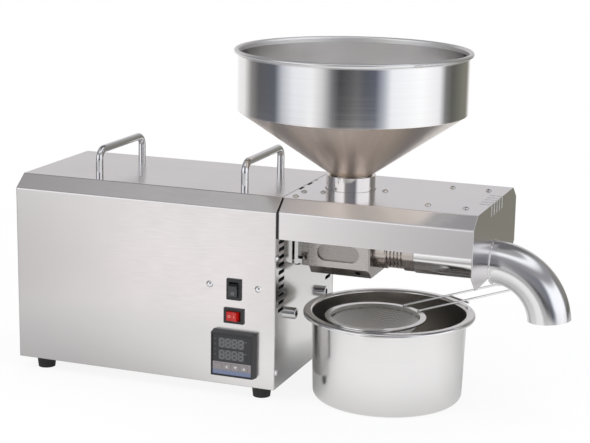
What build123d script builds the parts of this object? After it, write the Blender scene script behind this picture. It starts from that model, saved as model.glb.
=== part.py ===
from build123d import *
from math import acos, atan, cos, degrees, pi, radians, sin, tan
import os

# Screw oil press: gear motor box, press head under a folded cover, feed hopper,
# cake elbow, oil pot and strainer. Lengths in millimetres.
# While modelling, X = 0 is the joint between motor box and head cover, +X points to the
# press head, Y = 0 is the centre plane with the control panel on the -Y side, and Z = 0 is
# the surface the machine stands on. The finished pieces are shifted along X by a fixed
# amount, so the kept origin is the bottom centre of the whole machine's box.

# Motor box
box_length = 293.0
body_width = 177.0
top_height = 210.5
foot_height = 13.2
box_bend_width = 17.0
box_bend_height = 13.0
sheet = 1.2
plate = 1.5
bend_radius = 2.0
lip_width = 7.5
end_plate_gap = 0.8
base_lip_height = 12.0
fit_gap = 0.3
overrun = 2.0

# Rubber feet and their screws
foot_top_radius = 10.5
foot_bottom_radius = 9.0
foot_inset_left = 22.8
foot_inset_right = 20.0
foot_inset_y = 17.4
foot_recess_radius = 4.6
foot_recess_depth = 4.0
foot_hole_radius = 2.2
foot_screw_radius = 2.0
foot_screw_head_radius = 3.8
foot_screw_head = 2.5
foot_screw_length = 14.0

# Lifting handles
handle_rod_radius = 4.0
handle_half_span = 50.7
handle_rise = 27.0
handle_bend_radius = 10.0
handle_stud_radius = 3.0
handle_stud_length = 12.0
handle_left_x = -214.3
handle_right_x = -49.2
nut_across_flats = 10.0
nut_thickness = 5.0
thread_clearance = 0.15

# Ventilation slots in the end plates
vent_length = 17.0
vent_height = 3.9
vent_pitch = 7.9
vent_rows = 12
vent_lowest_drop = 116.3
vent_inset = 16.3

# Small panel screws and the end plates' screws
panel_screw_head_radius = 3.6
panel_screw_head = 2.1
panel_screw_radius = 1.5
panel_screw_length = 7.0
screw_slot_share = 0.32
panel_screw_z = 117.3
panel_screw_left_x = -71.2
panel_screw_right_x = -18.2
end_screw_low_z = 30.6
end_screw_high_drop = 60.5
end_screw_inset = 4.5

# Rocker switches
rocker_bezel_long = 22.2
rocker_bezel_short = 16.2
rocker_bezel_proud = 2.0
rocker_bezel_corner = 1.0
rocker_body_long = 19.2
rocker_body_short = 13.0
rocker_body_depth = 17.0
rocker_opening_long = 15.6
rocker_opening_short = 10.2
rocker_cap_width = 9.2
rocker_pivot_depth = 3.3
rocker_cap_base_half = 6.6
rocker_cap_top_half = 5.6
rocker_cap_end_rise = 9.0
rocker_cap_mid_rise = 7.6
rocker_cap_shoulder = 3.0
rocker_cap_keel = 4.0
rocker_pin_radius = 1.0
rocker_pin_reach = 0.6
rocker_tilt = 7.0
black_rocker_x = -44.1
black_rocker_z = 114.6
red_rocker_x = -44.0
red_rocker_z = 86.9

# Temperature controller
controller_x = -42.9
controller_z = 47.3
controller_side = 48.0
controller_proud = 9.0
controller_flare = 1.2
controller_corner = 1.0
controller_body_side = 44.2
controller_body_depth = 62.0
controller_wall = 1.6
controller_frame = 2.6
controller_recess = 0.8
controller_face_thickness = 1.6
key_strip_bottom = 8.0
key_height = 6.4
key_width = 8.0
key_pitch = 9.5
key_offset = -0.7
key_count = 4
key_proud = 0.25
key_thickness = 2.0
key_gap = 0.2

# Gear motor train
press_axis_drop = 61.5
gear_module = 1.25
pinion_teeth = 12
gear_teeth = 48
pressure_angle = 20.0
flank_steps = 2
addendum_share = 0.8
dedendum_share = 1.2
gear_backlash = 0.3
gear_face = 14.0
gear_web = 3.0
gear_clearance = 3.0
motor_shaft_radius = 5.0
counter_shaft_radius = 6.0
output_shaft_radius = 9.0
housing_wall = 6.0
housing_depth = 62.0
housing_lug = 8.0
housing_lug_half_width = 56.0
housing_corner = 8.0
shaft_play = 0.06
gear_end_gap = 1.0

# Gearbox mounting screws, socket heads outside the end plate
gear_screw_y = 46.0
gear_screw_below_axis = 65.0
gear_screw_above_axis = 31.0
gear_screw_radius = 4.0
gear_screw_head_radius = 6.0
gear_screw_head = 7.4
gear_screw_socket_radius = 3.4
gear_screw_socket_depth = 4.0

# Motor
motor_radius = 46.0
motor_bore_radius = 26.0
motor_length = 128.0
motor_shield = 8.0
rotor_gap = 0.5
rotor_end_gap = 6.0
fan_radius = 38.0
fan_thickness = 14.0
fan_hub_radius = 10.0
fan_blades = 8
fan_blade_thickness = 2.0
fan_shell_length = 24.0
fan_shell_wall = 1.5
fan_gap = 3.0
motor_rib_count = 12
motor_rib_height = 2.0
motor_rib_width = 4.0
cradle_thickness = 4.0
cradle_half_width = 40.0
cradle_foot = 18.0
cradle_top_below_axis = 26.0
cradle_end_inset = 16.0

# Electrical pieces on the base
capacitor_radius = 20.0
capacitor_length = 58.0
capacitor_cap = 6.0
capacitor_y = 28.0
relay_length = 58.0
relay_width = 45.0
relay_height = 23.0
relay_y = -26.0
relay_heatsink = 10.0
relay_fin_count = 6
gland_y = 52.0
gland_z = 40.0
gland_bore_radius = 4.2
gland_hex_flats = 22.0
gland_hex_length = 5.0
gland_thread_radius = 8.0
gland_inside = 12.0
gland_dome_radius = 9.6
gland_dome_length = 12.0

# Press head
flange_standoff = 1.4
flange_thickness = 3.8
flange_half_width = 38.0
flange_below_axis = 16.6
flange_above_axis = 37.0
flange_corner = 4.0
flange_boss_radius = 24.0
flange_bolt_y = 31.5
flange_bolt_below_axis = 12.0
flange_bolt_above_axis = 29.0
flange_bolt_radius = 2.5
flange_bolt_flats = 8.0
flange_bolt_head = 3.6
block_start = 14.0
block_length = 65.0
block_half_width = 29.0
block_below_axis = 26.0
block_above_axis = 25.0
block_edge_bevel = 2.5
block_chamfer_height = 9.0
block_chamfer_depth = 7.0
block_boss_half_width = 24.0
block_boss_below_axis = 19.0
block_boss_above_axis = 21.0
block_recess_start = 22.5
block_recess_length = 45.0
block_recess_below_axis = 10.5
block_recess_height = 17.0
block_recess_depth = 2.5
block_drain_radius = 3.0
block_drain_depth = 8.0
block_drain_x = 66.0
block_drain_tilt = 45.0
bore_radius = 12.9
feed_x = 47.6
feed_port_radius = 11.0
feed_funnel_radius = 20.0
feed_funnel_depth = 12.0
neck_radius = 25.5
neck_wall = 3.8
neck_above_cover = 14.5
nut_radius = 18.6
collar_length = 12.5
collar_slot_width = 4.0
collar_slot_depth = 2.5
collar_slots = 8
cage_radius = 17.5
cage_shoulder_radius = 19.0
cage_shoulder_length = 11.0
cage_rings_length = 19.0
cage_grooves = 5
cage_groove_width = 1.7
cage_groove_depth = 2.6
cage_spigot_radius = 15.5
cage_spigot_length = 9.0
cage_slit_width = 0.8
cage_slit_half_angle = 55.0
barrel_radius = 20.0
barrel_length = 72.0
heater_radius = 4.0
heater_length = 52.0
heater_stub = 4.0
heater_offset_y = 21.0
heater_below_top = 8.0
nozzle_bore_radius = 10.0
nozzle_length = 10.0
nozzle_flange = 4.0
probe_radius = 2.4
probe_hex_flats = 9.0
probe_hex_length = 6.0
probe_length = 30.0
probe_depth = 12.0
probe_x = 26.0

# Press screw
screw_radius = 12.5
screw_root_feed = 7.2
screw_root_end = 10.6
screw_pitch = 19.0
screw_flight_base = 5.0
screw_flight_tip = 3.2
screw_flight_sink = 1.2
screw_flight_start = 8.0
screw_turns = 8
screw_start = 14.0
screw_end_gap = 2.0
screw_taper_share = 0.3
screw_nose_length = 8.0
screw_nose_radius = 5.0
screw_tang_radius = 6.0
screw_tang_length = 10.0

# Head cover
cover_gap = 3.0
cover_length = 197.7
cover_bend_width = 14.5
cover_bend_height = 11.8
cover_side_depth = 39.5
cover_end_depth = 74.5
cover_end_corner_width = 17.4
cover_end_corner_height = 15.7
cover_hole_radius = 26.2
cover_vents = 5
cover_vent_pitch = 11.0
cover_vent_offset = 2.0
cover_vent_width = 2.6
cover_vent_top = 12.5
cover_vent_drop = 12.0
cover_screw_head_radius = 3.6
cover_screw_head = 1.8
cover_screw_radius = 1.9
cover_screw_length = 8.0
cover_screw_x_near = 143.0
cover_screw_x_far = 181.0
cover_screw_y = 46.0
rail_screw_x = 10.6
rail_screw_inner_y = 38.0
rail_screw_outer_y = 62.0
rail_depth = 20.0
rail_thickness = 4.0
rail_height = 18.0
rail_side_gap = 2.0
ring_bolt_radius = 37.0
ring_bolts = 3
ring_outer_radius = 43.0
saddle_margin = 6.0
saddle_half_width = 54.0
saddle_leg_half_width = 30.0
saddle_leg_above_axis = 9.0

# Rubber seal between motor box and cover, and the openings over it at the top
seal_width = 2.0
seam_line = 0.8
seam_dash_front_y = -22.1
seam_dash_front_width = 14.1
seam_dash_middle_y = 3.2
seam_dash_middle_width = 14.3
seam_dash_rear_y = 23.2
seam_dash_rear_width = 4.5

# Cake elbow
elbow_radius = 21.8
elbow_wall = 1.5
elbow_bend_radius = 59.0
elbow_angle = 85.0
elbow_below_axis = 0.5

# Hopper
hopper_wall = 0.9
hopper_spigot_radius = 21.2
hopper_spigot_below_cover = 13.5
hopper_band_radius = 116.8
hopper_band_above_cover = 80.5
hopper_band_height = 62.2
hopper_lip_reach = 4.0
hopper_lip_radius = 2.3

# Oil pot
pot_x = 97.5
pot_y = -15.9
pot_below_block = 32.9
pot_rim_radius = 88.1
pot_mouth_radius = 79.6
pot_base_radius = 76.7
pot_wall = 1.0
pot_base_fillet = 6.0
pot_rim_curl = 2.6
pot_rim_fillet = 1.4

# Strainer
strainer_x = 92.6
strainer_y = -46.6
strainer_outer_radius = 51.0
strainer_inner_radius = 45.0
strainer_ring_thickness = 1.4
strainer_lip = 2.4
strainer_depth = 24.0
strainer_mesh_wall = 0.7
strainer_wire_radius = 1.1
strainer_wire_half_gap = 12.0
strainer_handle_length = 178.0
strainer_handle_rise = 2.0
strainer_handle_angle = 55.0
strainer_bar_length = 33.0
strainer_bar_reach = 109.0

# Derived places
half_width = body_width / 2
panel_y = -half_width
inner_half = half_width - sheet
ceiling_z = top_height - sheet
floor_z = foot_height + sheet
foot_x_right = -foot_inset_right
foot_x_left = foot_inset_left - box_length
foot_y = half_width - foot_inset_y
vent_lowest_z = top_height - vent_lowest_drop
vent_offset_y = inner_half - vent_inset
end_screw_high_z = top_height - end_screw_high_drop
press_axis_z = top_height - press_axis_drop
gear_centre_distance = gear_module * (pinion_teeth + gear_teeth) / 2
counter_axis_z = press_axis_z - gear_centre_distance
gear_screw_low_z = press_axis_z - gear_screw_below_axis
gear_screw_high_z = press_axis_z + gear_screw_above_axis
flange_end = flange_standoff + flange_thickness
flange_bottom_z = press_axis_z - flange_below_axis
flange_top_z = press_axis_z + flange_above_axis
flange_bolt_low_z = press_axis_z - flange_bolt_below_axis
flange_bolt_high_z = press_axis_z + flange_bolt_above_axis
block_bottom_z = press_axis_z - block_below_axis
block_top_z = press_axis_z + block_above_axis
block_recess_bottom_z = press_axis_z - block_recess_below_axis
neck_top_z = top_height + neck_above_cover
cover_side_bottom_z = top_height - cover_side_depth
cover_end_bottom_z = top_height - cover_end_depth
saddle_leg_bottom_z = press_axis_z + saddle_leg_above_axis
elbow_axis_z = press_axis_z - elbow_below_axis
hopper_spigot_bottom_z = top_height - hopper_spigot_below_cover
hopper_band_bottom_z = top_height + hopper_band_above_cover
hopper_top_z = hopper_band_bottom_z + hopper_band_height
hopper_rim_radius = hopper_band_radius + hopper_lip_reach
pot_height = block_bottom_z - pot_below_block
cover_start = cover_gap
cover_end = cover_gap + cover_length
block_end = block_start + block_length
cage_start = block_end + collar_length
cage_end = cage_start + cage_rings_length + cage_shoulder_length
barrel_end = cage_end + barrel_length
strainer_bottom_z = pot_height + fit_gap
strainer_top_z = strainer_bottom_z + strainer_ring_thickness
elbow_reach = (elbow_bend_radius + elbow_radius) * sin(radians(elbow_angle))
machine_left = -box_length - gland_hex_length - gland_dome_length
machine_right = cover_end + elbow_reach
centre_x = (machine_left + machine_right) / 2


def save(name, shape):
    """Shift a finished piece to the kept origin and write it as its own file."""
    export_step(Pos(-centre_x, 0, 0) * shape, "parts/" + name + ".step")


def block(x, y, z):
    """Box from three (low, high) pairs."""
    size = (x[1] - x[0], y[1] - y[0], z[1] - z[0])
    return Pos((x[0] + x[1]) / 2, (y[0] + y[1]) / 2, (z[0] + z[1]) / 2) * Box(*size)


def rod_x(radius, start, end, y=0, z=0):
    """Round bar along X."""
    return Pos((start + end) / 2, y, z) * Rot(0, 90, 0) * Cylinder(radius, end - start)


def rod_y(radius, start, end, x=0, z=0):
    """Round bar along Y."""
    return Pos(x, (start + end) / 2, z) * Rot(90, 0, 0) * Cylinder(radius, end - start)


def rod_z(radius, start, end, x=0, y=0):
    """Round bar along Z."""
    return Pos(x, y, (start + end) / 2) * Cylinder(radius, end - start)


def hexagon_z(across_flats, start, end, x=0, y=0):
    """Hexagonal prism along Z."""
    face = RegularPolygon(across_flats / 2, 6, major_radius=False)
    return Pos(x, y, start) * extrude(face, end - start)


def hexagon_x(across_flats, start, end, y=0, z=0):
    """Hexagonal prism along X."""
    return Pos(start, y, z) * Rot(0, 90, 0) * hexagon_z(across_flats, 0, end - start)


def turned_x(points, z=0):
    """Solid of revolution about X from (x, radius) points."""
    return Pos(0, 0, z) * revolve(make_face(Polyline(*points, close=True)), Axis.X)


def turned_z(points, x=0, y=0):
    """Solid of revolution about Z from (radius, z) points."""
    profile = Plane.XZ * make_face(Polyline(*points, close=True))
    return Pos(x, y, 0) * revolve(profile, Axis.Z)


def folded_outline(width, bottom, bend_width, bend_height):
    """Outer section of a folded hood in the YZ plane: straight sides, sloped shoulders."""
    half = width / 2
    points = [
        (-half, bottom),
        (-half, top_height - bend_height),
        (-half + bend_width, top_height),
        (half - bend_width, top_height),
        (half, top_height - bend_height),
        (half, bottom),
    ]
    face = make_face(Polyline(*points, close=True))
    corners = face.vertices().filter_by(lambda v: v.Y > bottom + bend_radius)
    return fillet(corners, bend_radius)


def folded_ring(outer_inset, inner_inset, bottom, bend_width, bend_height):
    """Sheet section between two insets from the folded outline, open below."""
    outline = folded_outline(body_width, bottom - lip_width - overrun, bend_width, bend_height)
    outer = offset(outline, -outer_inset, kind=Kind.INTERSECTION) if outer_inset else outline
    inner = offset(outline, -inner_inset, kind=Kind.INTERSECTION)
    below = Pos(0, bottom - body_width / 2) * Rectangle(2 * body_width, body_width)
    return outer - inner - below


def folded_hood(bottom, bend_width, bend_height, start, end):
    """Hood of bent sheet, open below and at both ends."""
    section = folded_ring(0, sheet, bottom, bend_width, bend_height)
    return Pos(start, 0, 0) * extrude(Plane.YZ * section, end - start)


# Motor box


def vent_slots(start, end):
    """Cutters for two columns of horizontal slots through an end plate."""
    cutters = []
    for side in (-1, 1):
        for row in range(vent_rows):
            z = vent_lowest_z + row * vent_pitch
            slot = extrude(Plane.YZ * SlotOverall(vent_length, vent_height), end - start)
            cutters.append(Pos(start, side * vent_offset_y, z) * slot)
    return cutters


def end_plate(start):
    """Flat end plate that fits inside the hood, flush with its end."""
    inset = sheet + end_plate_gap
    outline = folded_outline(body_width, foot_height - inset, box_bend_width, box_bend_height)
    outline = offset(outline, -inset, kind=Kind.INTERSECTION)
    return Pos(start, 0, 0) * extrude(Plane.YZ * outline, plate)


def end_screw_places():
    """Side and height of the screws through an end plate into the hood's lips."""
    y = inner_half - end_screw_inset
    places = [(side * y, z) for side in (-1, 1) for z in (end_screw_low_z, end_screw_high_z)]
    return places


def end_screw_holes(start, end):
    """Cutters for the end plate's screws between two planes."""
    radius = panel_screw_radius + thread_clearance
    return [rod_x(radius, start, end, y, z) for y, z in end_screw_places()]


def panel_openings():
    """Cutters for the control panel in the hood's front wall."""
    wall = (panel_y - overrun, panel_y + sheet + overrun)
    cutters = []
    half_long = rocker_body_long / 2 + fit_gap
    half_short = rocker_body_short / 2 + fit_gap
    cutters.append(block((black_rocker_x - half_short, black_rocker_x + half_short), wall,
                         (black_rocker_z - half_long, black_rocker_z + half_long)))
    cutters.append(block((red_rocker_x - half_long, red_rocker_x + half_long), wall,
                         (red_rocker_z - half_short, red_rocker_z + half_short)))
    half = controller_body_side / 2 + fit_gap
    cutters.append(block((controller_x - half, controller_x + half), wall,
                         (controller_z - half, controller_z + half)))
    for x in (panel_screw_left_x, panel_screw_right_x):
        cutters.append(rod_y(panel_screw_radius + thread_clearance, *wall, x=x, z=panel_screw_z))
    return cutters


def body_cover():
    """Front wall, top and back wall of the motor box in one sheet, with lips at its ends."""
    hood = folded_hood(foot_height, box_bend_width, box_bend_height, -box_length, 0)
    lip = folded_ring(sheet, sheet + lip_width, floor_z, box_bend_width, box_bend_height)
    for start in (plate - box_length, -plate - sheet):
        hood += Pos(start, 0, 0) * extrude(Plane.YZ * lip, sheet)
    cutters = panel_openings()
    for x in (handle_left_x, handle_right_x):
        for side in (-1, 1):
            cutters.append(rod_z(handle_stud_radius + thread_clearance, ceiling_z - overrun,
                                 top_height + overrun, x=x, y=side * handle_half_span))
    cutters += end_screw_holes(-box_length, 0)
    return hood - cutters


def left_end_plate():
    """Rear end of the motor box, with vents and the hole for the cord gland."""
    through = (-box_length - overrun, -box_length + plate + overrun)
    hole = rod_x(gland_thread_radius + thread_clearance, *through, y=gland_y, z=gland_z)
    return end_plate(-box_length) - vent_slots(*through) - hole - end_screw_holes(*through)


def right_end_plate():
    """Press side of the motor box, with vents, shaft hole and gearbox screw holes."""
    through = (-plate - overrun, overrun)
    cutters = vent_slots(*through)
    cutters.append(rod_x(output_shaft_radius + gear_clearance, *through, z=press_axis_z))
    for side in (-1, 1):
        for z in (gear_screw_low_z, gear_screw_high_z):
            cutters.append(rod_x(gear_screw_radius + thread_clearance, *through,
                                 y=side * gear_screw_y, z=z))
        for z in (flange_bolt_low_z, flange_bolt_high_z):
            cutters.append(rod_x(flange_bolt_radius + thread_clearance, *through,
                                 y=side * flange_bolt_y, z=z))
    return end_plate(-plate) - cutters - end_screw_holes(*through)


def base_plate():
    """Bottom tray of the motor box between the end plates."""
    tray = block((plate - box_length, -plate), (-inner_half, inner_half), (foot_height, floor_z))
    lip_start = plate - box_length + sheet + fit_gap
    lip_end = -plate - sheet - fit_gap
    for side in (-1, 1):
        lip = sorted((side * inner_half, side * (inner_half - sheet)))
        tray += block((lip_start, lip_end), lip, (foot_height, foot_height + base_lip_height))
    radius = foot_screw_radius + thread_clearance
    return tray - [rod_z(radius, 0, floor_z + overrun, x, y) for x, y in foot_places()]


def foot_places():
    """Centres of the four feet."""
    return [(x, side * foot_y) for x in (foot_x_left, foot_x_right) for side in (-1, 1)]


def rubber_feet():
    """Four tapered rubber feet with a recess for the screw head."""
    profile = [
        (foot_hole_radius, foot_recess_depth),
        (foot_recess_radius, foot_recess_depth),
        (foot_recess_radius, 0),
        (foot_bottom_radius, 0),
        (foot_top_radius, foot_height),
        (foot_hole_radius, foot_height),
    ]
    return Compound([turned_z(profile, x, y) for x, y in foot_places()])


def foot_screws():
    """Four pan head screws that hold the feet, with nuts on the base plate."""
    screws = []
    head_bottom = foot_recess_depth - foot_screw_head
    for x, y in foot_places():
        screw = rod_z(foot_screw_head_radius, head_bottom, foot_recess_depth, x, y)
        screw += rod_z(foot_screw_radius, head_bottom, head_bottom + foot_screw_length + plate,
                       x, y)
        screw += hexagon_z(foot_screw_head_radius * 2, floor_z, floor_z + foot_screw_head, x, y)
        screws.append(screw)
    return Compound(screws)


def carrying_handle(x):
    """Bent round bar with a threaded stud below each end."""
    bar_z = top_height + handle_rise
    points = [
        (x, -handle_half_span, top_height),
        (x, -handle_half_span, bar_z),
        (x, handle_half_span, bar_z),
        (x, handle_half_span, top_height),
    ]
    path = FilletPolyline(*points, radius=handle_bend_radius)
    start = Plane(origin=points[0], z_dir=(0, 0, 1))
    bar = sweep(start * Circle(handle_rod_radius), path=path)
    for side in (-1, 1):
        bar += rod_z(handle_stud_radius, top_height - handle_stud_length, top_height,
                     x, side * handle_half_span)
    return bar


def carrying_handles():
    """The two handles across the motor box."""
    return Compound([carrying_handle(x) for x in (handle_left_x, handle_right_x)])


def handle_nuts():
    """Nuts below the hood on the handles' studs."""
    nuts = []
    for x in (handle_left_x, handle_right_x):
        for side in (-1, 1):
            y = side * handle_half_span
            nut = hexagon_z(nut_across_flats, ceiling_z - nut_thickness, ceiling_z, x, y)
            nuts.append(nut - rod_z(handle_stud_radius + thread_clearance,
                                    ceiling_z - handle_stud_length, ceiling_z + overrun, x, y))
    return Compound(nuts)


def button_head_screw(head_radius, head, shank_radius, length):
    """Screw along -Z from its seat at Z = 0, with a domed head above."""
    seat_drop = head_radius * head_radius / (2 * head) - head / 2
    ball = head_radius * head_radius / (2 * head) + head / 2
    dome = Pos(0, 0, -seat_drop) * Sphere(ball) & rod_z(head_radius, 0, head + overrun)
    half_slot = head * screw_slot_share / 2
    slot = block((-head_radius, head_radius), (-half_slot, half_slot), (head / 2, head + overrun))
    return dome - slot + rod_z(shank_radius, -length, 0)


def body_screws():
    """Screws on the control panel and through the end plates into the hood's lips."""
    screw = button_head_screw(panel_screw_head_radius, panel_screw_head,
                              panel_screw_radius, panel_screw_length)
    screws = [Pos(x, panel_y, panel_screw_z) * Rot(90, 0, 0) * screw
              for x in (panel_screw_left_x, panel_screw_right_x)]
    for y, z in end_screw_places():
        screws.append(Pos(0, y, z) * Rot(0, 90, 0) * screw)
        screws.append(Pos(-box_length, y, z) * Rot(0, -90, 0) * screw)
    return Compound(screws)


# Controls


def rocker_frame():
    """Switch housing for a vertical rocker, centred on the panel's surface, -Y outward."""
    half_long = rocker_bezel_long / 2
    half_short = rocker_bezel_short / 2
    bezel = block((-half_short, half_short), (-rocker_bezel_proud, 0), (-half_long, half_long))
    bezel = fillet(bezel.edges().filter_by(Axis.Y), rocker_bezel_corner)
    front = bezel.faces().sort_by(Axis.Y)[0]
    bezel = chamfer(front.outer_wire().edges(), rocker_bezel_corner / 2)
    body = block((-rocker_body_short / 2, rocker_body_short / 2), (0, rocker_body_depth),
                 (-rocker_body_long / 2, rocker_body_long / 2))
    pocket_depth = rocker_body_depth - sheet
    pocket = block((-rocker_opening_short / 2, rocker_opening_short / 2),
                   (-rocker_bezel_proud - overrun, pocket_depth),
                   (-rocker_opening_long / 2, rocker_opening_long / 2))
    reach = rocker_opening_short / 2 + rocker_pin_reach
    pin_hole = rod_x(rocker_pin_radius + shaft_play, -reach, reach)
    return bezel + body - pocket - Pos(0, rocker_pivot_depth, 0) * pin_hole


def rocker_cap():
    """Rocker with two sloped faces and its pivot pins, level, around its pivot."""
    points = [
        (rocker_cap_shoulder, -rocker_cap_base_half),
        (-rocker_cap_end_rise, -rocker_cap_top_half),
        (-rocker_cap_mid_rise, 0),
        (-rocker_cap_end_rise, rocker_cap_top_half),
        (rocker_cap_shoulder, rocker_cap_base_half),
        (rocker_cap_keel + rocker_cap_shoulder, 0),
    ]
    face = Plane.YZ * make_face(Polyline(*points, close=True))
    cap = Pos(-rocker_cap_width / 2, 0, 0) * extrude(face, rocker_cap_width)
    reach = rocker_opening_short / 2 + rocker_pin_reach - shaft_play
    pins = rod_x(rocker_pin_radius, -reach, reach)
    return cap + pins


def rocker_pair(x, z, flat):
    """Housing and tilted rocker at a place on the panel; flat lays the switch on its side."""
    place = Pos(x, panel_y, z) * Rot(0, 90 if flat else 0, 0)
    frame = place * rocker_frame()
    cap = place * Pos(0, rocker_pivot_depth, 0) * Rot(rocker_tilt, 0, 0) * rocker_cap()
    return frame, cap


def controller_case():
    """Square controller: bezel in front of the panel and hollow body behind it."""
    half = controller_side / 2
    taper = degrees(atan(controller_flare / controller_proud))
    outline = RectangleRounded(controller_side, controller_side, controller_corner)
    bezel = extrude(Plane.XZ * outline, controller_proud, taper=taper)
    window = half - controller_frame
    recess_floor = controller_recess + controller_face_thickness
    bezel -= block((-window, window), (-controller_proud - overrun, recess_floor - controller_proud),
                   (-window, window))
    body_half = controller_body_side / 2
    body = block((-body_half, body_half), (0, controller_body_depth), (-body_half, body_half))
    inner = body_half - controller_wall
    body -= block((-inner, inner), (controller_wall, controller_body_depth - controller_wall),
                  (-inner, inner))
    key_well = inner
    bezel -= block((-key_well, key_well), (-controller_proud, -controller_wall),
                   (-key_well, -key_well + key_strip_bottom + key_height))
    return Pos(controller_x, panel_y, controller_z) * (bezel + body)


def key_centres():
    """X offsets of the four keys from the controller's centre, and their height."""
    z = -controller_side / 2 + key_strip_bottom + key_height / 2
    return [(key_offset + (index - (key_count - 1) / 2) * key_pitch, z)
            for index in range(key_count)]


def controller_face():
    """Front sheet of the controller with openings for the four keys."""
    half = controller_side / 2 - controller_frame - fit_gap
    back = controller_recess + controller_face_thickness - controller_proud
    face = block((-half, half), (controller_recess - controller_proud, back), (-half, half))
    for x, z in key_centres():
        face -= block((x - key_width / 2 - key_gap, x + key_width / 2 + key_gap),
                      (-controller_proud - overrun, overrun),
                      (z - key_height / 2 - key_gap, z + key_height / 2 + key_gap))
    return Pos(controller_x, panel_y, controller_z) * face


def controller_key(index):
    """One key with a retaining skirt behind the front sheet."""
    x, z = key_centres()[index]
    front = controller_recess - controller_proud - key_proud
    key = block((x - key_width / 2, x + key_width / 2), (front, front + key_thickness + key_proud),
                (z - key_height / 2, z + key_height / 2))
    key = fillet(key.edges().filter_by(Axis.Y), key_gap * 2)
    return Pos(controller_x, panel_y, controller_z) * key


# Gear train and motor


def involute_angle(base, radius):
    """Polar angle that an involute has turned through at a radius."""
    pressure = acos(min(base / radius, 1))
    return tan(pressure) - pressure


def tooth_profile(teeth):
    """Closed outline points of a spur gear with involute flanks and some backlash."""
    pitch = gear_module * teeth / 2
    base = pitch * cos(radians(pressure_angle))
    tip = pitch + gear_module * addendum_share
    root = pitch - gear_module * dedendum_share
    at_pitch = pi / (2 * teeth) - gear_backlash / (4 * pitch) + involute_angle(base, pitch)
    start = max(base, root)
    flank = [(root, at_pitch)] if root < base else []
    for step in range(flank_steps + 1):
        radius = start + (tip - start) * step / flank_steps
        flank.append((radius, at_pitch - involute_angle(base, radius)))
    points = []
    for tooth in range(teeth):
        middle = 2 * pi * tooth / teeth
        points += [(r * cos(middle - a), r * sin(middle - a)) for r, a in flank]
        points += [(r * cos(middle + a), r * sin(middle + a)) for r, a in reversed(flank)]
    return points


def spur_gear(teeth, start, end, turn):
    """Spur gear along X between two planes, turned so its teeth mesh at rest."""
    face = make_face(Polyline(*tooth_profile(teeth), close=True))
    return Pos(start, 0, 0) * Rot(turn, 0, 0) * extrude(Plane.YZ * face, end - start)


second_stage_end = -plate - housing_wall - gear_end_gap
second_stage_start = second_stage_end - gear_face
first_stage_end = second_stage_start - gear_web
first_stage_start = first_stage_end - gear_face
housing_end = -plate
housing_start = housing_end - housing_depth
gear_tip_radius = gear_module * (gear_teeth / 2 + addendum_share)
pinion_tip_radius = gear_module * (pinion_teeth / 2 + addendum_share)
housing_half = gear_tip_radius + gear_clearance + housing_wall
housing_top = press_axis_z + housing_half
housing_bottom = counter_axis_z - housing_half
motor_front = housing_start
motor_rear = motor_front - motor_length
bearing_ring = 5.0


def gearbox_housing():
    """Cast gear housing, open towards the motor, with two mounting lugs."""
    body = block((housing_start + housing_wall, housing_end), (-housing_half, housing_half),
                 (housing_bottom, housing_top))
    body = fillet(body.edges().filter_by(Axis.X), housing_corner)
    lug_top = gear_screw_high_z + gear_screw_head_radius * 2
    lug_bottom = gear_screw_low_z - gear_screw_head_radius * 2
    body += block((housing_end - housing_lug, housing_end),
                  (-housing_lug_half_width, housing_lug_half_width), (lug_bottom, lug_top))
    hollow = gear_tip_radius + gear_clearance
    cavity = (housing_start + housing_wall - overrun, housing_end - housing_wall)
    body -= rod_x(hollow, *cavity, z=press_axis_z)
    body -= rod_x(hollow, *cavity, z=counter_axis_z)
    through = (housing_start, housing_end + overrun)
    body -= rod_x(output_shaft_radius + bearing_ring, *through, z=press_axis_z)
    body -= rod_x(counter_shaft_radius + shaft_play, housing_end - housing_wall - overrun,
                  housing_end - sheet, z=counter_axis_z)
    for side in (-1, 1):
        for z in (gear_screw_low_z, gear_screw_high_z):
            body -= rod_x(gear_screw_radius, *through, y=side * gear_screw_y, z=z)
        for z in (flange_bolt_low_z, flange_bolt_high_z):
            body -= rod_x(flange_bolt_radius, housing_end - housing_wall * 2, housing_end + overrun,
                          y=side * flange_bolt_y, z=z)
    return body


def gearbox_lid():
    """Plate between gear housing and motor with the shaft bores."""
    lid = block((housing_start, housing_start + housing_wall), (-housing_half, housing_half),
                (housing_bottom, housing_top))
    lid = fillet(lid.edges().filter_by(Axis.X), housing_corner)
    through = (housing_start - overrun, housing_start + housing_wall + overrun)
    lid -= rod_x(motor_shaft_radius + shaft_play, *through, z=press_axis_z)
    lid -= rod_x(counter_shaft_radius + shaft_play, housing_start + sheet,
                 housing_start + housing_wall + overrun, z=counter_axis_z)
    return lid


def output_bearing():
    """Ring bearing of the output shaft in the housing's front wall."""
    points = [
        (housing_end - housing_wall, output_shaft_radius + shaft_play),
        (housing_end, output_shaft_radius + shaft_play),
        (housing_end, output_shaft_radius + bearing_ring),
        (housing_end - housing_wall, output_shaft_radius + bearing_ring),
    ]
    return turned_x(points, press_axis_z)


def output_gear():
    """Large gear of the second stage on the output shaft."""
    gear = spur_gear(gear_teeth, second_stage_start, second_stage_end, 0)
    gear -= rod_x(output_shaft_radius, second_stage_start - overrun, second_stage_end + overrun)
    return Pos(0, 0, press_axis_z) * gear


def output_shaft():
    """Output shaft from the second stage gear to the press screw's socket."""
    shaft = rod_x(output_shaft_radius, second_stage_start, screw_start, z=press_axis_z)
    socket = hexagon_x(screw_tang_radius * 2, screw_start - screw_tang_length,
                       screw_start + overrun, z=press_axis_z)
    return shaft - socket


def counter_gear():
    """Large gear of the first stage on the counter shaft."""
    gear = spur_gear(gear_teeth, first_stage_start, first_stage_end, 0)
    gear -= rod_x(counter_shaft_radius, first_stage_start - overrun, first_stage_end + overrun)
    return Pos(0, 0, counter_axis_z) * gear


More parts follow.
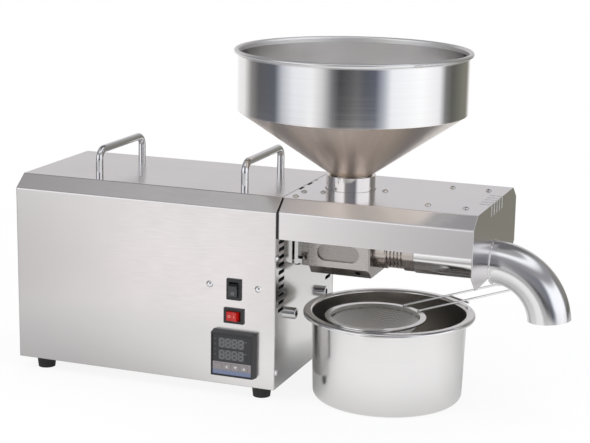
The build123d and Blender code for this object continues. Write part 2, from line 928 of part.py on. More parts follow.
def counter_pinion():
    """Counter shaft with the second stage pinion cut on it."""
    half_tooth = 180 / pinion_teeth
    pinion = spur_gear(pinion_teeth, second_stage_start, second_stage_end, half_tooth)
    shaft = rod_x(counter_shaft_radius, housing_start + sheet + fit_gap,
                  housing_end - sheet - fit_gap)
    return Pos(0, 0, counter_axis_z) * (pinion + shaft)


def motor_pinion():
    """First stage pinion on the motor shaft."""
    half_tooth = 180 / pinion_teeth
    pinion = spur_gear(pinion_teeth, first_stage_start, first_stage_end, half_tooth)
    pinion -= rod_x(motor_shaft_radius, first_stage_start - overrun, first_stage_end + overrun)
    return Pos(0, 0, press_axis_z) * pinion


def motor_housing():
    """Ribbed motor shell with the stator's round bore."""
    start = motor_rear + motor_shield
    end = motor_front - motor_shield
    shell = rod_x(motor_radius - motor_rib_height, start, end)
    for index in range(motor_rib_count):
        rib = block((start, end), (-motor_rib_width / 2, motor_rib_width / 2),
                    (motor_radius - motor_rib_height * 2, motor_radius))
        shell += Rot(360 * index / motor_rib_count, 0, 0) * rib
    shell -= rod_x(motor_bore_radius, start - overrun, end + overrun)
    return Pos(0, 0, press_axis_z) * shell


def motor_shield_disc(start):
    """End shield of the motor with its shaft bore."""
    disc = rod_x(motor_radius - motor_rib_height, start, start + motor_shield)
    disc -= rod_x(motor_shaft_radius + shaft_play, start - overrun, start + motor_shield + overrun)
    return Pos(0, 0, press_axis_z) * disc


def motor_shields():
    """Front and rear end shields."""
    return Compound([motor_shield_disc(motor_front - motor_shield), motor_shield_disc(motor_rear)])


def motor_rotor():
    """Rotor core on its shaft, from the fan to the first stage pinion."""
    core = rod_x(motor_bore_radius - rotor_gap, motor_rear + motor_shield + rotor_end_gap,
                 motor_front - motor_shield - rotor_end_gap)
    core += rod_x(motor_shaft_radius, motor_rear - fan_gap - fan_thickness, first_stage_end)
    return Pos(0, 0, press_axis_z) * core


def motor_fan():
    """Radial fan on the motor's rear shaft end."""
    end = motor_rear - fan_gap
    start = end - fan_thickness
    fan = rod_x(fan_hub_radius, start, end) + rod_x(fan_radius, end - fan_blade_thickness, end)
    for index in range(fan_blades):
        blade = block((start, end), (-fan_blade_thickness / 2, fan_blade_thickness / 2),
                      (fan_hub_radius - fan_blade_thickness, fan_radius))
        fan += Rot(360 * index / fan_blades, 0, 0) * blade
    fan -= rod_x(motor_shaft_radius, start - overrun, end + overrun)
    return Pos(0, 0, press_axis_z) * fan


def fan_shell():
    """Cup over the fan with a round air inlet."""
    outer = motor_radius
    start = motor_rear - fan_shell_length
    points = [
        (motor_rear, motor_radius - motor_rib_height),
        (motor_rear, outer),
        (start, outer),
        (start, fan_hub_radius * 2),
        (start + fan_shell_wall, fan_hub_radius * 2),
        (start + fan_shell_wall, outer - fan_shell_wall),
        (motor_rear - fan_shell_wall, outer - fan_shell_wall),
        (motor_rear - fan_shell_wall, motor_radius - motor_rib_height),
    ]
    return turned_x(points, press_axis_z)


def motor_cradles():
    """Two saddle brackets that carry the motor on the base plate."""
    cradles = []
    top = press_axis_z - cradle_top_below_axis
    for x in (motor_rear + cradle_end_inset, motor_front - cradle_end_inset - cradle_thickness):
        web = block((x, x + cradle_thickness), (-cradle_half_width, cradle_half_width),
                    (floor_z, top))
        foot = block((x, x + cradle_foot), (-cradle_half_width, cradle_half_width),
                     (floor_z, floor_z + cradle_thickness))
        cradles.append(web + foot - rod_x(motor_radius + shaft_play * 2, x - overrun,
                                          x + cradle_foot, z=press_axis_z))
    return Compound(cradles)


def bay_middle():
    """Middle along X of the free bay under the motor, between its two cradles."""
    start = motor_rear + cradle_end_inset + cradle_foot
    end = motor_front - cradle_end_inset - cradle_thickness
    return (start + end) / 2


def run_capacitor():
    """Motor capacitor lying on the base plate under the motor, with its end cap."""
    start = bay_middle() - capacitor_length / 2
    end = start + capacitor_length
    z = floor_z + capacitor_radius
    can = rod_x(capacitor_radius, start, end, capacitor_y, z)
    can = fillet(can.edges().sort_by(Axis.X)[-1], overrun)
    return can + rod_x(capacitor_radius - overrun * 2, end, end + capacitor_cap, capacitor_y, z)


def heater_relay():
    """Solid state relay on a finned plate."""
    low_x = bay_middle() - relay_length / 2
    low_y = relay_y - relay_width / 2
    fin = relay_width / (relay_fin_count * 2)
    body = block((low_x, low_x + relay_length), (low_y, low_y + relay_width),
                 (floor_z + relay_heatsink, floor_z + relay_heatsink + relay_height))
    body += block((low_x, low_x + relay_length), (low_y, low_y + relay_width),
                  (floor_z, floor_z + relay_heatsink))
    for index in range(relay_fin_count - 1):
        y = low_y + fin * (2 * index + 1.5)
        body -= block((low_x - overrun, low_x + relay_length + overrun), (y, y + fin),
                      (floor_z + sheet, floor_z + relay_heatsink - sheet))
    return body


def cord_gland():
    """Open cord gland in the rear end plate: nut inside, hexagon and dome outside."""
    outside = -box_length
    gland = hexagon_x(gland_hex_flats, outside - gland_hex_length, outside)
    gland += rod_x(gland_thread_radius, outside, outside + plate + gland_inside)
    gland += hexagon_x(gland_hex_flats, outside + plate, outside + plate + gland_hex_length)
    dome_start = outside - gland_hex_length
    dome = rod_x(gland_dome_radius, dome_start - gland_dome_length, dome_start)
    dome = fillet(dome.edges().sort_by(Axis.X)[0], gland_dome_radius / 3)
    gland += dome
    gland -= rod_x(gland_bore_radius, dome_start - gland_dome_length - overrun,
                   outside + plate + gland_inside + overrun)
    return Pos(0, gland_y, gland_z) * gland


def gearbox_screws():
    """Four socket head screws that hold the gear housing to the end plate."""
    screws = []
    for side in (-1, 1):
        for z in (gear_screw_low_z, gear_screw_high_z):
            y = side * gear_screw_y
            head = rod_x(gear_screw_head_radius, 0, gear_screw_head, y, z)
            head = chamfer(head.edges().sort_by(Axis.X)[-1], fit_gap * 2)
            head -= hexagon_x(gear_screw_socket_radius * 2,
                              gear_screw_head - gear_screw_socket_depth,
                              gear_screw_head + overrun, y, z)
            shank_end = -plate - housing_lug
            screws.append(head + rod_x(gear_screw_radius, shank_end, 0, y, z))
    return Compound(screws)


# Press head


def press_flange():
    """Bright flange plate with a round spacer that holds it off the motor box."""
    body = block((flange_standoff, flange_end), (-flange_half_width, flange_half_width),
                 (flange_bottom_z, flange_top_z))
    body = fillet(body.edges().filter_by(Axis.X), flange_corner)
    for side in (-1, 1):
        for z in (flange_bolt_low_z, flange_bolt_high_z):
            body -= rod_x(flange_bolt_radius + thread_clearance, 0, flange_end + overrun,
                          y=side * flange_bolt_y, z=z)
    body += rod_x(flange_boss_radius, 0, flange_end, z=press_axis_z)
    return body - rod_x(output_shaft_radius + gear_clearance, -overrun, flange_end + overrun,
                        z=press_axis_z)


def flange_bolts():
    """Hexagon bolts through the flange into the gear housing."""
    bolts = []
    for side in (-1, 1):
        for z in (flange_bolt_low_z, flange_bolt_high_z):
            y = side * flange_bolt_y
            bolt = hexagon_x(flange_bolt_flats, flange_end, flange_end + flange_bolt_head, y, z)
            bolt += rod_x(flange_bolt_radius, housing_end - housing_wall + fit_gap,
                          flange_end, y, z)
            bolts.append(bolt)
    return Compound(bolts)


def feed_block():
    """Square feed chamber with its screw bore, feed funnel and side recess."""
    half = block_half_width
    points = [
        (-half, block_bottom_z + block_chamfer_height),
        (-half + block_chamfer_depth, block_bottom_z),
        (half - block_chamfer_depth, block_bottom_z),
        (half, block_bottom_z + block_chamfer_height),
        (half, block_top_z),
        (-half, block_top_z),
    ]
    section = make_face(Polyline(*points, close=True))
    body = Pos(block_start, 0, 0) * extrude(Plane.YZ * section, block_length)
    corners = body.edges().filter_by(Axis.Z).group_by(Axis.X)[-1]
    body = chamfer(corners, block_edge_bevel)
    body += block((flange_end, block_start), (-block_boss_half_width, block_boss_half_width),
                  (press_axis_z - block_boss_below_axis, press_axis_z + block_boss_above_axis))
    body -= rod_x(bore_radius, flange_end - overrun, block_end + overrun, z=press_axis_z)
    body -= rod_x(cage_spigot_radius, block_end - cage_spigot_length, block_end + overrun,
                  z=press_axis_z)
    body -= rod_z(feed_port_radius, press_axis_z, block_top_z, feed_x)
    funnel = Cone(feed_port_radius, feed_funnel_radius, feed_funnel_depth)
    body -= Pos(feed_x, 0, block_top_z - feed_funnel_depth / 2) * funnel
    recess = SlotOverall(block_recess_length, block_recess_height)
    recess_z = block_recess_bottom_z + block_recess_height / 2
    recess_x = block_recess_start + block_recess_length / 2
    pocket = extrude(Plane.XZ * recess, -block_recess_depth)
    for turn in (0, 180):
        side = Rot(0, 0, turn) * Pos(0, -half, 0) * pocket
        body -= Pos(recess_x, 0, recess_z) * side
    slope = block_chamfer_height / block_chamfer_depth
    drain = rod_y(block_drain_radius, -block_drain_depth / slope, block_drain_depth)
    drain = Rot(block_drain_tilt, 0, 0) * drain
    body -= Pos(block_drain_x, -half + block_chamfer_depth / 2,
                block_bottom_z + block_chamfer_height / 2) * drain
    for side in (-1, 1):
        body -= rod_x(heater_radius + shaft_play, flange_end - overrun,
                      block_start + heater_length - heater_stub + fit_gap,
                      side * heater_offset_y, block_top_z - heater_below_top)
    body -= rod_y(probe_radius + thread_clearance, half - probe_depth, half + overrun,
                  x=probe_x, z=press_axis_z - bore_radius - probe_radius)
    return body


def temperature_probe():
    """Threaded thermocouple in the rear of the feed block."""
    z = press_axis_z - bore_radius - probe_radius
    half = block_half_width
    probe = rod_y(probe_radius, half - probe_depth + fit_gap, half + probe_length, x=probe_x, z=z)
    hexagon = Rot(-90, 0, 0) * hexagon_z(probe_hex_flats, 0, probe_hex_length)
    return probe + Pos(probe_x, half, z) * hexagon


def feed_neck():
    """Tube on the feed block that takes the hopper's spigot."""
    inner = neck_radius - neck_wall
    points = [
        (inner, block_top_z),
        (neck_radius, block_top_z),
        (neck_radius, neck_top_z),
        (inner, neck_top_z),
    ]
    return turned_z(points, feed_x)


def barrel_nut():
    """Slotted round nut that clamps the drain cage to the feed block."""
    nut = rod_x(nut_radius, block_end, cage_start)
    edges = nut.edges().filter_by(GeomType.CIRCLE)
    nut = chamfer(edges, fit_gap * 2)
    nut -= rod_x(cage_spigot_radius + fit_gap, block_end - overrun, cage_start + overrun)
    for index in range(collar_slots):
        notch = block((block_end - overrun, cage_start + overrun),
                      (-collar_slot_width / 2, collar_slot_width / 2),
                      (nut_radius - collar_slot_depth, nut_radius + overrun))
        nut -= Rot(360 * (index + 0.5) / collar_slots, 0, 0) * notch
    return Pos(0, 0, press_axis_z) * nut


def drain_cage():
    """Pressing cage with ring grooves whose floors open to the bore in narrow oil slits."""
    spigot_start = block_end - cage_spigot_length
    shoulder_start = cage_end - cage_shoulder_length
    points = [
        (spigot_start, bore_radius),
        (spigot_start, cage_spigot_radius),
        (cage_start, cage_spigot_radius),
        (cage_start, cage_radius),
        (shoulder_start, cage_radius),
        (shoulder_start, cage_shoulder_radius),
        (cage_end, cage_shoulder_radius),
        (cage_end, bore_radius),
    ]
    cage = turned_x(points)
    pitch = cage_rings_length / cage_grooves
    for index in range(cage_grooves):
        middle = cage_start + pitch * (index + 0.5)
        near = middle - cage_groove_width / 2
        far = middle + cage_groove_width / 2
        ring = [(near, cage_radius - cage_groove_depth), (far, cage_radius - cage_groove_depth),
                (far, cage_radius + overrun), (near, cage_radius + overrun)]
        cage -= turned_x(ring)
        half_slit = cage_radius * sin(radians(cage_slit_half_angle)) / 2
        cage -= block((middle - cage_slit_width / 2, middle + cage_slit_width / 2),
                      (-half_slit, half_slit), (-cage_radius, 0))
    return Pos(0, 0, press_axis_z) * cage


def press_barrel():
    """Smooth front barrel behind the drain cage."""
    points = [
        (cage_end, bore_radius),
        (cage_end, barrel_radius - fit_gap * 3),
        (cage_end + fit_gap * 3, barrel_radius),
        (barrel_end, barrel_radius),
        (barrel_end, bore_radius),
    ]
    return turned_x(points, press_axis_z)


def cake_nozzle():
    """Ring nozzle that sets the cake's thickness at the barrel's end."""
    start = barrel_end - nozzle_length
    points = [
        (start, bore_radius - fit_gap),
        (barrel_end, bore_radius - fit_gap),
        (barrel_end, barrel_radius - sheet),
        (barrel_end + nozzle_flange / 2, barrel_radius - sheet),
        (barrel_end + nozzle_flange / 2, nozzle_bore_radius),
        (start, nozzle_bore_radius + sheet),
    ]
    return turned_x(points, press_axis_z)


def press_screw():
    """Feed and pressing screw: a helical flight on a core that thickens towards the nozzle."""
    end = barrel_end - nozzle_length - screw_end_gap
    taper_start = screw_start + (end - screw_start) * screw_taper_share
    nose_start = end - screw_nose_length
    points = [
        (screw_start, 0),
        (screw_start, screw_root_feed),
        (taper_start, screw_root_feed),
        (nose_start, screw_root_end),
        (end, screw_nose_radius),
        (end, 0),
    ]
    screw = turned_x(points)
    root = screw_root_feed - screw_flight_sink
    path = Helix(pitch=screw_pitch, height=screw_pitch, radius=root)
    profile = [
        (0, -screw_flight_base / 2),
        (screw_radius - root, -screw_flight_tip / 2),
        (screw_radius - root, screw_flight_tip / 2),
        (0, screw_flight_base / 2),
    ]
    across = Plane(origin=path @ 0, x_dir=(1, 0, 0), z_dir=path % 0)
    turn = sweep(across * make_face(Polyline(*profile, close=True)), path=path, is_frenet=True)
    turn = Rot(0, 90, 0) * turn
    for index in range(screw_turns):
        start = screw_start + screw_flight_start + index * screw_pitch
        screw += Pos(start, 0, 0) * turn
    screw += hexagon_x((screw_tang_radius - fit_gap / 2) * 2,
                       screw_start - screw_tang_length + fit_gap, screw_start)
    return Pos(0, 0, press_axis_z) * screw


def heater_cartridges():
    """Two rod heaters in the feed block, pushed in from the flange side."""
    start = block_start - heater_stub
    z = block_top_z - heater_below_top
    return Compound([rod_x(heater_radius, start, start + heater_length, side * heater_offset_y, z)
                     for side in (-1, 1)])


# Head cover and what it carries


def cover_screw_places():
    """Centres of the screws on the cover's top."""
    places = []
    for side in (-1, 1):
        for x in (cover_screw_x_near, cover_screw_x_far):
            places.append((x, side * cover_screw_y))
        for y in (rail_screw_inner_y, rail_screw_outer_y):
            places.append((rail_screw_x, side * y))
    for index in range(ring_bolts):
        angle = radians(360 * index / ring_bolts)
        places.append((feed_x + ring_bolt_radius * cos(angle), ring_bolt_radius * sin(angle)))
    return places


def cover_screw_cutters(bottom):
    """Clearance holes for the cover's screws from a depth up through the top."""
    return [rod_z(cover_screw_radius + thread_clearance, bottom, top_height + overrun, x, y)
            for x, y in cover_screw_places()]


def head_cover():
    """Folded cover of the press head with end wall, neck hole, bend vents and seam tongues."""
    hood = folded_hood(cover_side_bottom_z, cover_bend_width, cover_bend_height,
                       cover_start, cover_end)
    outline = folded_outline(body_width, cover_end_bottom_z, cover_bend_width, cover_bend_height)
    corner = Polyline((half_width - cover_end_corner_width, cover_end_bottom_z - overrun),
                      (half_width + overrun, cover_end_bottom_z - overrun),
                      (half_width + overrun, cover_end_bottom_z + cover_end_corner_height),
                      (half_width, cover_end_bottom_z + cover_end_corner_height),
                      (half_width - cover_end_corner_width, cover_end_bottom_z), close=True)
    corner = make_face(corner)
    outline = outline - corner - mirror(corner, Plane.YZ)
    wall = Pos(cover_end - sheet, 0, 0) * extrude(Plane.YZ * outline, sheet)
    half = half_width - cover_bend_width - bend_radius
    tongues = block((seam_line, cover_start), (-half, half), (ceiling_z, top_height))
    cutters = cover_screw_cutters(ceiling_z - overrun)
    for y, width in ((seam_dash_front_y, seam_dash_front_width),
                     (seam_dash_middle_y, seam_dash_middle_width),
                     (seam_dash_rear_y, seam_dash_rear_width)):
        cutters.append(block((0, cover_start + seam_line), (y - width / 2, y + width / 2),
                             (ceiling_z - overrun, top_height + overrun)))
    shell = hood + wall + tongues
    cutters.append(rod_z(cover_hole_radius, ceiling_z - overrun, top_height + overrun, feed_x))
    cutters.append(rod_x(elbow_radius - elbow_wall, cover_end - sheet - overrun,
                         cover_end + overrun, z=elbow_axis_z))
    for index in range(cover_vents):
        y = cover_vent_offset + (index - (cover_vents - 1) / 2) * cover_vent_pitch
        side = (y - cover_vent_width / 2, y + cover_vent_width / 2)
        cutters.append(block((cover_end - cover_vent_top, cover_end + overrun), side,
                             (ceiling_z - overrun, top_height + overrun)))
        cutters.append(block((cover_end - sheet - overrun, cover_end + overrun), side,
                             (top_height - cover_vent_drop, top_height + overrun)))
    return shell - cutters


def cover_screws():
    """Screws on the cover's top."""
    screw = button_head_screw(cover_screw_head_radius, cover_screw_head,
                              cover_screw_radius, cover_screw_length)
    return Compound([Pos(x, y, top_height) * screw for x, y in cover_screw_places()])


def seam_seal():
    """Rubber strip round the end of the motor box, below the cover's edge."""
    section = folded_ring(sheet, sheet + seal_width, cover_side_bottom_z, box_bend_width,
                          box_bend_height)
    return extrude(Plane.YZ * section, cover_start)


def cover_rail():
    """Stepped rail on the end plate that carries the cover's open end beside the seal."""
    half = half_width - box_bend_width - rail_side_gap
    rail = block((0, rail_depth), (-half, half),
                 (ceiling_z - rail_thickness, ceiling_z))
    rail -= block((-overrun, cover_start), (-body_width, body_width),
                  (ceiling_z - seal_width, ceiling_z + overrun))
    rail += block((0, plate), (-flange_half_width, flange_half_width),
                  (ceiling_z - rail_height, ceiling_z - seal_width))
    return rail - [rod_z(cover_screw_radius + thread_clearance * 2, ceiling_z - rail_height,
                         ceiling_z + overrun, rail_screw_x, side * y)
                   for side in (-1, 1) for y in (rail_screw_inner_y, rail_screw_outer_y)]


def neck_ring():
    """Stiffening ring under the cover round the neck hole."""
    ring = rod_z(ring_outer_radius, ceiling_z - plate, ceiling_z, feed_x)
    ring -= rod_z(cover_hole_radius, ceiling_z - plate - overrun, ceiling_z + overrun, feed_x)
    ring -= block((0, rail_depth + fit_gap), (-half_width, half_width), (0, top_height))
    return ring - cover_screw_cutters(ceiling_z - plate - overrun)


def barrel_saddle():
    """Bracket under the cover that straddles the barrel and holds the cover level."""
    start = cover_screw_x_near - saddle_margin
    end = cover_screw_x_far + saddle_margin
    saddle = block((start, end), (-saddle_half_width, saddle_half_width),
                   (ceiling_z - plate, ceiling_z))
    for x in (start, end - plate):
        saddle += block((x, x + plate), (-saddle_leg_half_width, saddle_leg_half_width),
                        (saddle_leg_bottom_z, ceiling_z))
    saddle -= rod_x(barrel_radius + fit_gap, start - overrun, end + overrun, z=press_axis_z)
    notch = barrel_radius + fit_gap
    saddle -= block((start - overrun, end + overrun), (-notch, notch),
                    (press_axis_z - barrel_radius, press_axis_z))
    return saddle - cover_screw_cutters(ceiling_z - plate - overrun)


def cake_elbow():
    """Tube bend that turns the pressed cake down, welded to the cover's end wall."""
    ring = Circle(elbow_radius) - Circle(elbow_radius - elbow_wall)
    section = Plane.YZ * ring
    pivot = Axis((0, 0, -elbow_bend_radius), (0, 1, 0))
    bend = revolve(section, pivot, elbow_angle)
    return Pos(cover_end, 0, elbow_axis_z) * bend


# Hopper, pot and strainer


def hopper():
    """Spun hopper: spigot, cone, upright band and rolled lip."""
    lip_z = hopper_top_z - hopper_lip_radius
    lip_centre = hopper_rim_radius - hopper_lip_radius
    outer = Polyline((hopper_spigot_radius, hopper_spigot_bottom_z),
                     (hopper_spigot_radius, neck_top_z + fit_gap),
                     (hopper_band_radius, hopper_band_bottom_z), (hopper_band_radius, lip_z))
    profile = make_face(offset(outer, hopper_wall, side=Side.LEFT))
    bowl = revolve(Plane.XZ * profile, Axis.Z)
    lip = Pos(0, 0, lip_z) * Torus(lip_centre, hopper_lip_radius)
    return Pos(feed_x, 0, 0) * (bowl + lip)


def oil_pot():
    """Tapered pot with a rounded base edge and a curled flat rim."""
    rim_z = pot_height - pot_wall
    edge = pot_rim_radius - pot_wall
    outer = FilletPolyline((0, 0), (pot_base_radius, 0), (pot_mouth_radius, rim_z),
                           (edge, rim_z), (edge, rim_z - pot_rim_curl),
                           radius=[pot_base_fillet, pot_rim_fillet, pot_rim_fillet])
    profile = make_face(offset(outer, pot_wall, side=Side.LEFT))
    return Pos(pot_x, pot_y, 0) * revolve(Plane.XZ * profile, Axis.Z)


def strainer_ring():
    """Flat ring of the strainer with a short collar that holds the mesh."""
    points = [
        (strainer_inner_radius, strainer_bottom_z - strainer_lip),
        (strainer_inner_radius + strainer_ring_thickness, strainer_bottom_z - strainer_lip),
        (strainer_inner_radius + strainer_ring_thickness, strainer_bottom_z),
        (strainer_outer_radius, strainer_bottom_z),
        (strainer_outer_radius, strainer_top_z),
        (strainer_inner_radius, strainer_top_z),
    ]
    return turned_z(points, strainer_x, strainer_y)


def strainer_mesh():
    """Round bowl of fine wire mesh."""
    rim = strainer_inner_radius
    ball = (rim * rim + strainer_depth * strainer_depth) / (2 * strainer_depth)
    centre_z = strainer_bottom_z - strainer_lip + ball - strainer_depth
    bowl = Sphere(ball) - Sphere(ball - strainer_mesh_wall)
    bowl = Pos(strainer_x, strainer_y, centre_z) * bowl
    low = strainer_bottom_z - strainer_lip - strainer_depth - overrun
    high = strainer_bottom_z - strainer_lip
    return bowl & rod_z(rim, low, high, strainer_x, strainer_y)


def strainer_handle():
    """Bent wire handle with a cross bar that rests on the pot's rim."""
    gap = strainer_wire_half_gap
    reach = strainer_handle_length
    start = strainer_inner_radius
    points = [(start, gap, 0), (reach, gap, 0), (reach, -gap, 0), (start, -gap, 0)]
    path = FilletPolyline(*points, radius=gap - strainer_wire_radius)
    section = Plane(origin=points[0], z_dir=(1, 0, 0)) * Circle(strainer_wire_radius)
    wires = sweep(section, path=path)
    bar_radius = strainer_wire_radius
    bar = rod_y(bar_radius, -strainer_bar_length / 2, strainer_bar_length / 2)
    drop = 2 * strainer_wire_radius - fit_gap
    wires += Pos(strainer_bar_reach, 0, -drop) * bar
    level = strainer_top_z + strainer_wire_radius
    rise = Pos(start, 0, 0) * Rot(0, -strainer_handle_rise, 0) * Pos(-start, 0, 0)
    place = Pos(strainer_x, strainer_y, level) * Rot(0, 0, strainer_handle_angle)
    return place * rise * wires


def main():
    """Write every piece of the press."""
    os.makedirs("parts", exist_ok=True)
    pieces = {
        "body_cover": body_cover,
        "left_end_plate": left_end_plate,
        "right_end_plate": right_end_plate,
        "base_plate": base_plate,
        "rubber_feet": rubber_feet,
        "foot_screws": foot_screws,
        "carrying_handles": carrying_handles,
        "handle_nuts": handle_nuts,
        "body_screws": body_screws,
        "controller_case": controller_case,
        "controller_face": controller_face,
        "gearbox_housing": gearbox_housing,
        "gearbox_lid": gearbox_lid,
        "gearbox_screws": gearbox_screws,
        "output_bearing": output_bearing,
        "output_gear": output_gear,
        "output_shaft": output_shaft,
        "counter_gear": counter_gear,
        "counter_pinion": counter_pinion,
        "motor_pinion": motor_pinion,
        "motor_housing": motor_housing,
        "motor_shields": motor_shields,
        "motor_rotor": motor_rotor,
        "motor_fan": motor_fan,
        "fan_shell": fan_shell,
        "motor_cradles": motor_cradles,
        "run_capacitor": run_capacitor,
        "heater_relay": heater_relay,
        "cord_gland": cord_gland,
        "press_flange": press_flange,
        "flange_bolts": flange_bolts,
        "feed_block": feed_block,
        "temperature_probe": temperature_probe,
        "feed_neck": feed_neck,
        "barrel_nut": barrel_nut,
        "drain_cage": drain_cage,
        "press_barrel": press_barrel,
        "heater_cartridges": heater_cartridges,
        "cake_nozzle": cake_nozzle,
        "press_screw": press_screw,
        "head_cover": head_cover,
        "cover_screws": cover_screws,
        "seam_seal": seam_seal,
        "cover_rail": cover_rail,
        "neck_ring": neck_ring,
        "barrel_saddle": barrel_saddle,
        "cake_elbow": cake_elbow,
        "hopper": hopper,
        "oil_pot": oil_pot,
        "strainer_ring": strainer_ring,
        "strainer_mesh": strainer_mesh,
        "strainer_handle": strainer_handle,
    }
    for name, make in pieces.items():
        save(name, make())
    for colour, x, z, flat in (("black", black_rocker_x, black_rocker_z, False),
                               ("red", red_rocker_x, red_rocker_z, True)):
        frame, cap = rocker_pair(x, z, flat)
        save(colour + "_switch_frame", frame)
        save(colour + "_rocker", cap)
    for index, name in enumerate(("set_key", "shift_key", "down_key", "up_key")):
        save(name, controller_key(index))


main()
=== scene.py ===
import bpy
from math import cos, pi, radians, sin, sqrt
from mathutils import Matrix, Vector


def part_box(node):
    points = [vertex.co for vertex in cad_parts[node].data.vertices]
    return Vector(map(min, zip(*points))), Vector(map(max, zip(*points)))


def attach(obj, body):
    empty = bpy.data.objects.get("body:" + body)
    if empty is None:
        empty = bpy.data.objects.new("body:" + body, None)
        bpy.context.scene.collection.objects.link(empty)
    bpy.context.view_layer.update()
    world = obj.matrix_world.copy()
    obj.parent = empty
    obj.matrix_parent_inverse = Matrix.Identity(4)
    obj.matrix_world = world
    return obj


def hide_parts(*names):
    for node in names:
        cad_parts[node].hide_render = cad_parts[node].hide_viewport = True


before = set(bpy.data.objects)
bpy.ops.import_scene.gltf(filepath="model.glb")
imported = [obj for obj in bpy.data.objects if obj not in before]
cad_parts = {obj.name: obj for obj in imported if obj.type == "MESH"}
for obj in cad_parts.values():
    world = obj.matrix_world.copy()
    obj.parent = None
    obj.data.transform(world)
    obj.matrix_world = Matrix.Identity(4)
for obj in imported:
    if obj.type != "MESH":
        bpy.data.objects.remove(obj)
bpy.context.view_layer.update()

scene = bpy.context.scene
scene.view_settings.view_transform = "Standard"

# Added to a direction's angle, this puts the photographer's side at 0
CAMERA_TURN = radians(69.9)
# Noise of this kind mostly lies between these two values
NOISE_LOW, NOISE_HIGH = 0.3, 0.7
# Axes that grain runs round
ALONG_X, UPRIGHT = 0, 2
# Thickness of print that stands on a surface
PRINT = 0.0001

# Small helpers for node trees


def new_tree(name):
    """A new material with its nodes and links."""
    material = bpy.data.materials.new(name)
    material.use_nodes = True
    return material, material.node_tree.nodes, material.node_tree.links


def add(nodes, kind, **values):
    node = nodes.new(kind)
    for key, value in values.items():
        setattr(node, key, value)
    return node


def maths(nodes, links, operation, a, b=None, clamp=False):
    node = add(nodes, "ShaderNodeMath", operation=operation, use_clamp=clamp)
    for socket, value in zip(node.inputs, (a, b)):
        if value is None:
            continue
        if isinstance(value, bpy.types.NodeSocket):
            links.new(value, socket)
        else:
            socket.default_value = value
    return node.outputs[0]


def blend_colour(nodes, links, factor, a, b, mode="MIX"):
    node = add(nodes, "ShaderNodeMix", data_type="RGBA", blend_type=mode)
    for socket, value in ((node.inputs[0], factor), (node.inputs[6], a), (node.inputs[7], b)):
        if isinstance(value, bpy.types.NodeSocket):
            links.new(value, socket)
        elif isinstance(value, (int, float)):
            socket.default_value = value
        else:
            socket.default_value = (*value, 1.0)
    return node.outputs[2]


def ramp(nodes, links, factor, stops):
    """Colour from a factor, through stops that are pairs of a place and a colour."""
    node = add(nodes, "ShaderNodeValToRGB")
    elements = node.color_ramp.elements
    while len(elements) > 1:
        elements.remove(elements[-1])
    for index, (place, colour) in enumerate(stops):
        element = elements[0] if index == 0 else elements.new(place)
        element.position = place
        element.color = (*colour, 1.0)
    links.new(factor, node.inputs[0])
    return node.outputs[0]


def step_between(nodes, links, value, start, end, low=0.0, high=1.0):
    """Goes from low, where the value is at the start, to high at the end."""
    node = add(nodes, "ShaderNodeMapRange")
    links.new(value, node.inputs[0])
    for socket, number in zip(node.inputs[1:5], (start, end, low, high)):
        socket.default_value = number
    return node.outputs[0]


def noise_between(nodes, links, value, low, high):
    """Stretches what a noise gives over the range from low to high."""
    return step_between(nodes, links, value, NOISE_LOW, NOISE_HIGH, low, high)


def noise(nodes, links, vector, scale, detail=2.0, roughness=0.5):
    node = add(nodes, "ShaderNodeTexNoise")
    links.new(vector, node.inputs["Vector"])
    node.inputs["Scale"].default_value = scale
    node.inputs["Detail"].default_value = detail
    node.inputs["Roughness"].default_value = roughness
    return node.outputs[0]


def split(nodes, links, vector):
    """The three components of a vector."""
    parts = add(nodes, "ShaderNodeSeparateXYZ")
    links.new(vector, parts.inputs[0])
    return parts.outputs


def place_of(nodes):
    """Where a point lies on the object, in metres."""
    return add(nodes, "ShaderNodeTexCoord").outputs["Object"]


def from_centre(nodes, links, vector, centre):
    """The way from a centre to the place."""
    shift = add(nodes, "ShaderNodeVectorMath", operation="SUBTRACT")
    links.new(vector, shift.inputs[0])
    shift.inputs[1].default_value = centre
    return shift.outputs[0]


def turn_of(nodes, links, x, y):
    """Direction as a number from 0 to 1, with the photographer's side at 0.5."""
    angle = maths(nodes, links, "ADD", maths(nodes, links, "ARCTAN2", y, x), CAMERA_TURN + pi)
    return maths(nodes, links, "FRACT", maths(nodes, links, "DIVIDE", angle, 2 * pi))


def degree_stops(bands):
    """Stops of a ramp over turn_of, from pairs of degrees and a colour or a grey."""
    return [((degrees + 180) / 360, (shade,) * 3 if isinstance(shade, float) else shade)
            for degrees, shade in bands]


def scaled(nodes, links, vector, scale):
    node = add(nodes, "ShaderNodeMapping")
    links.new(vector, node.inputs[0])
    node.inputs["Scale"].default_value = scale
    return node.outputs[0]


def round_axis(nodes, links, vector, centre, axis):
    """Distance from an axis and place along it, so that grain runs round it."""
    parts = split(nodes, links, from_centre(nodes, links, vector, centre))
    others = [parts[index] for index in range(3) if index != axis]
    squares = [maths(nodes, links, "POWER", value, 2.0) for value in others]
    distance = maths(nodes, links, "SQRT", maths(nodes, links, "ADD", *squares))
    joined = add(nodes, "ShaderNodeCombineXYZ")
    links.new(distance, joined.inputs[0])
    links.new(parts[axis], joined.inputs[1])
    return joined.outputs[0]


def inside_of(nodes, links, vector, centre):
    """One where a surface faces the upright axis through the centre, as a bowl's inside does."""
    flat = add(nodes, "ShaderNodeVectorMath", operation="MULTIPLY")
    links.new(from_centre(nodes, links, vector, centre), flat.inputs[0])
    flat.inputs[1].default_value = (1.0, 1.0, 0.0)
    dot = add(nodes, "ShaderNodeVectorMath", operation="DOT_PRODUCT")
    links.new(flat.outputs[0], dot.inputs[0])
    links.new(add(nodes, "ShaderNodeTexCoord").outputs["Normal"], dot.inputs[1])
    return maths(nodes, links, "LESS_THAN", dot.outputs["Value"], -0.001)


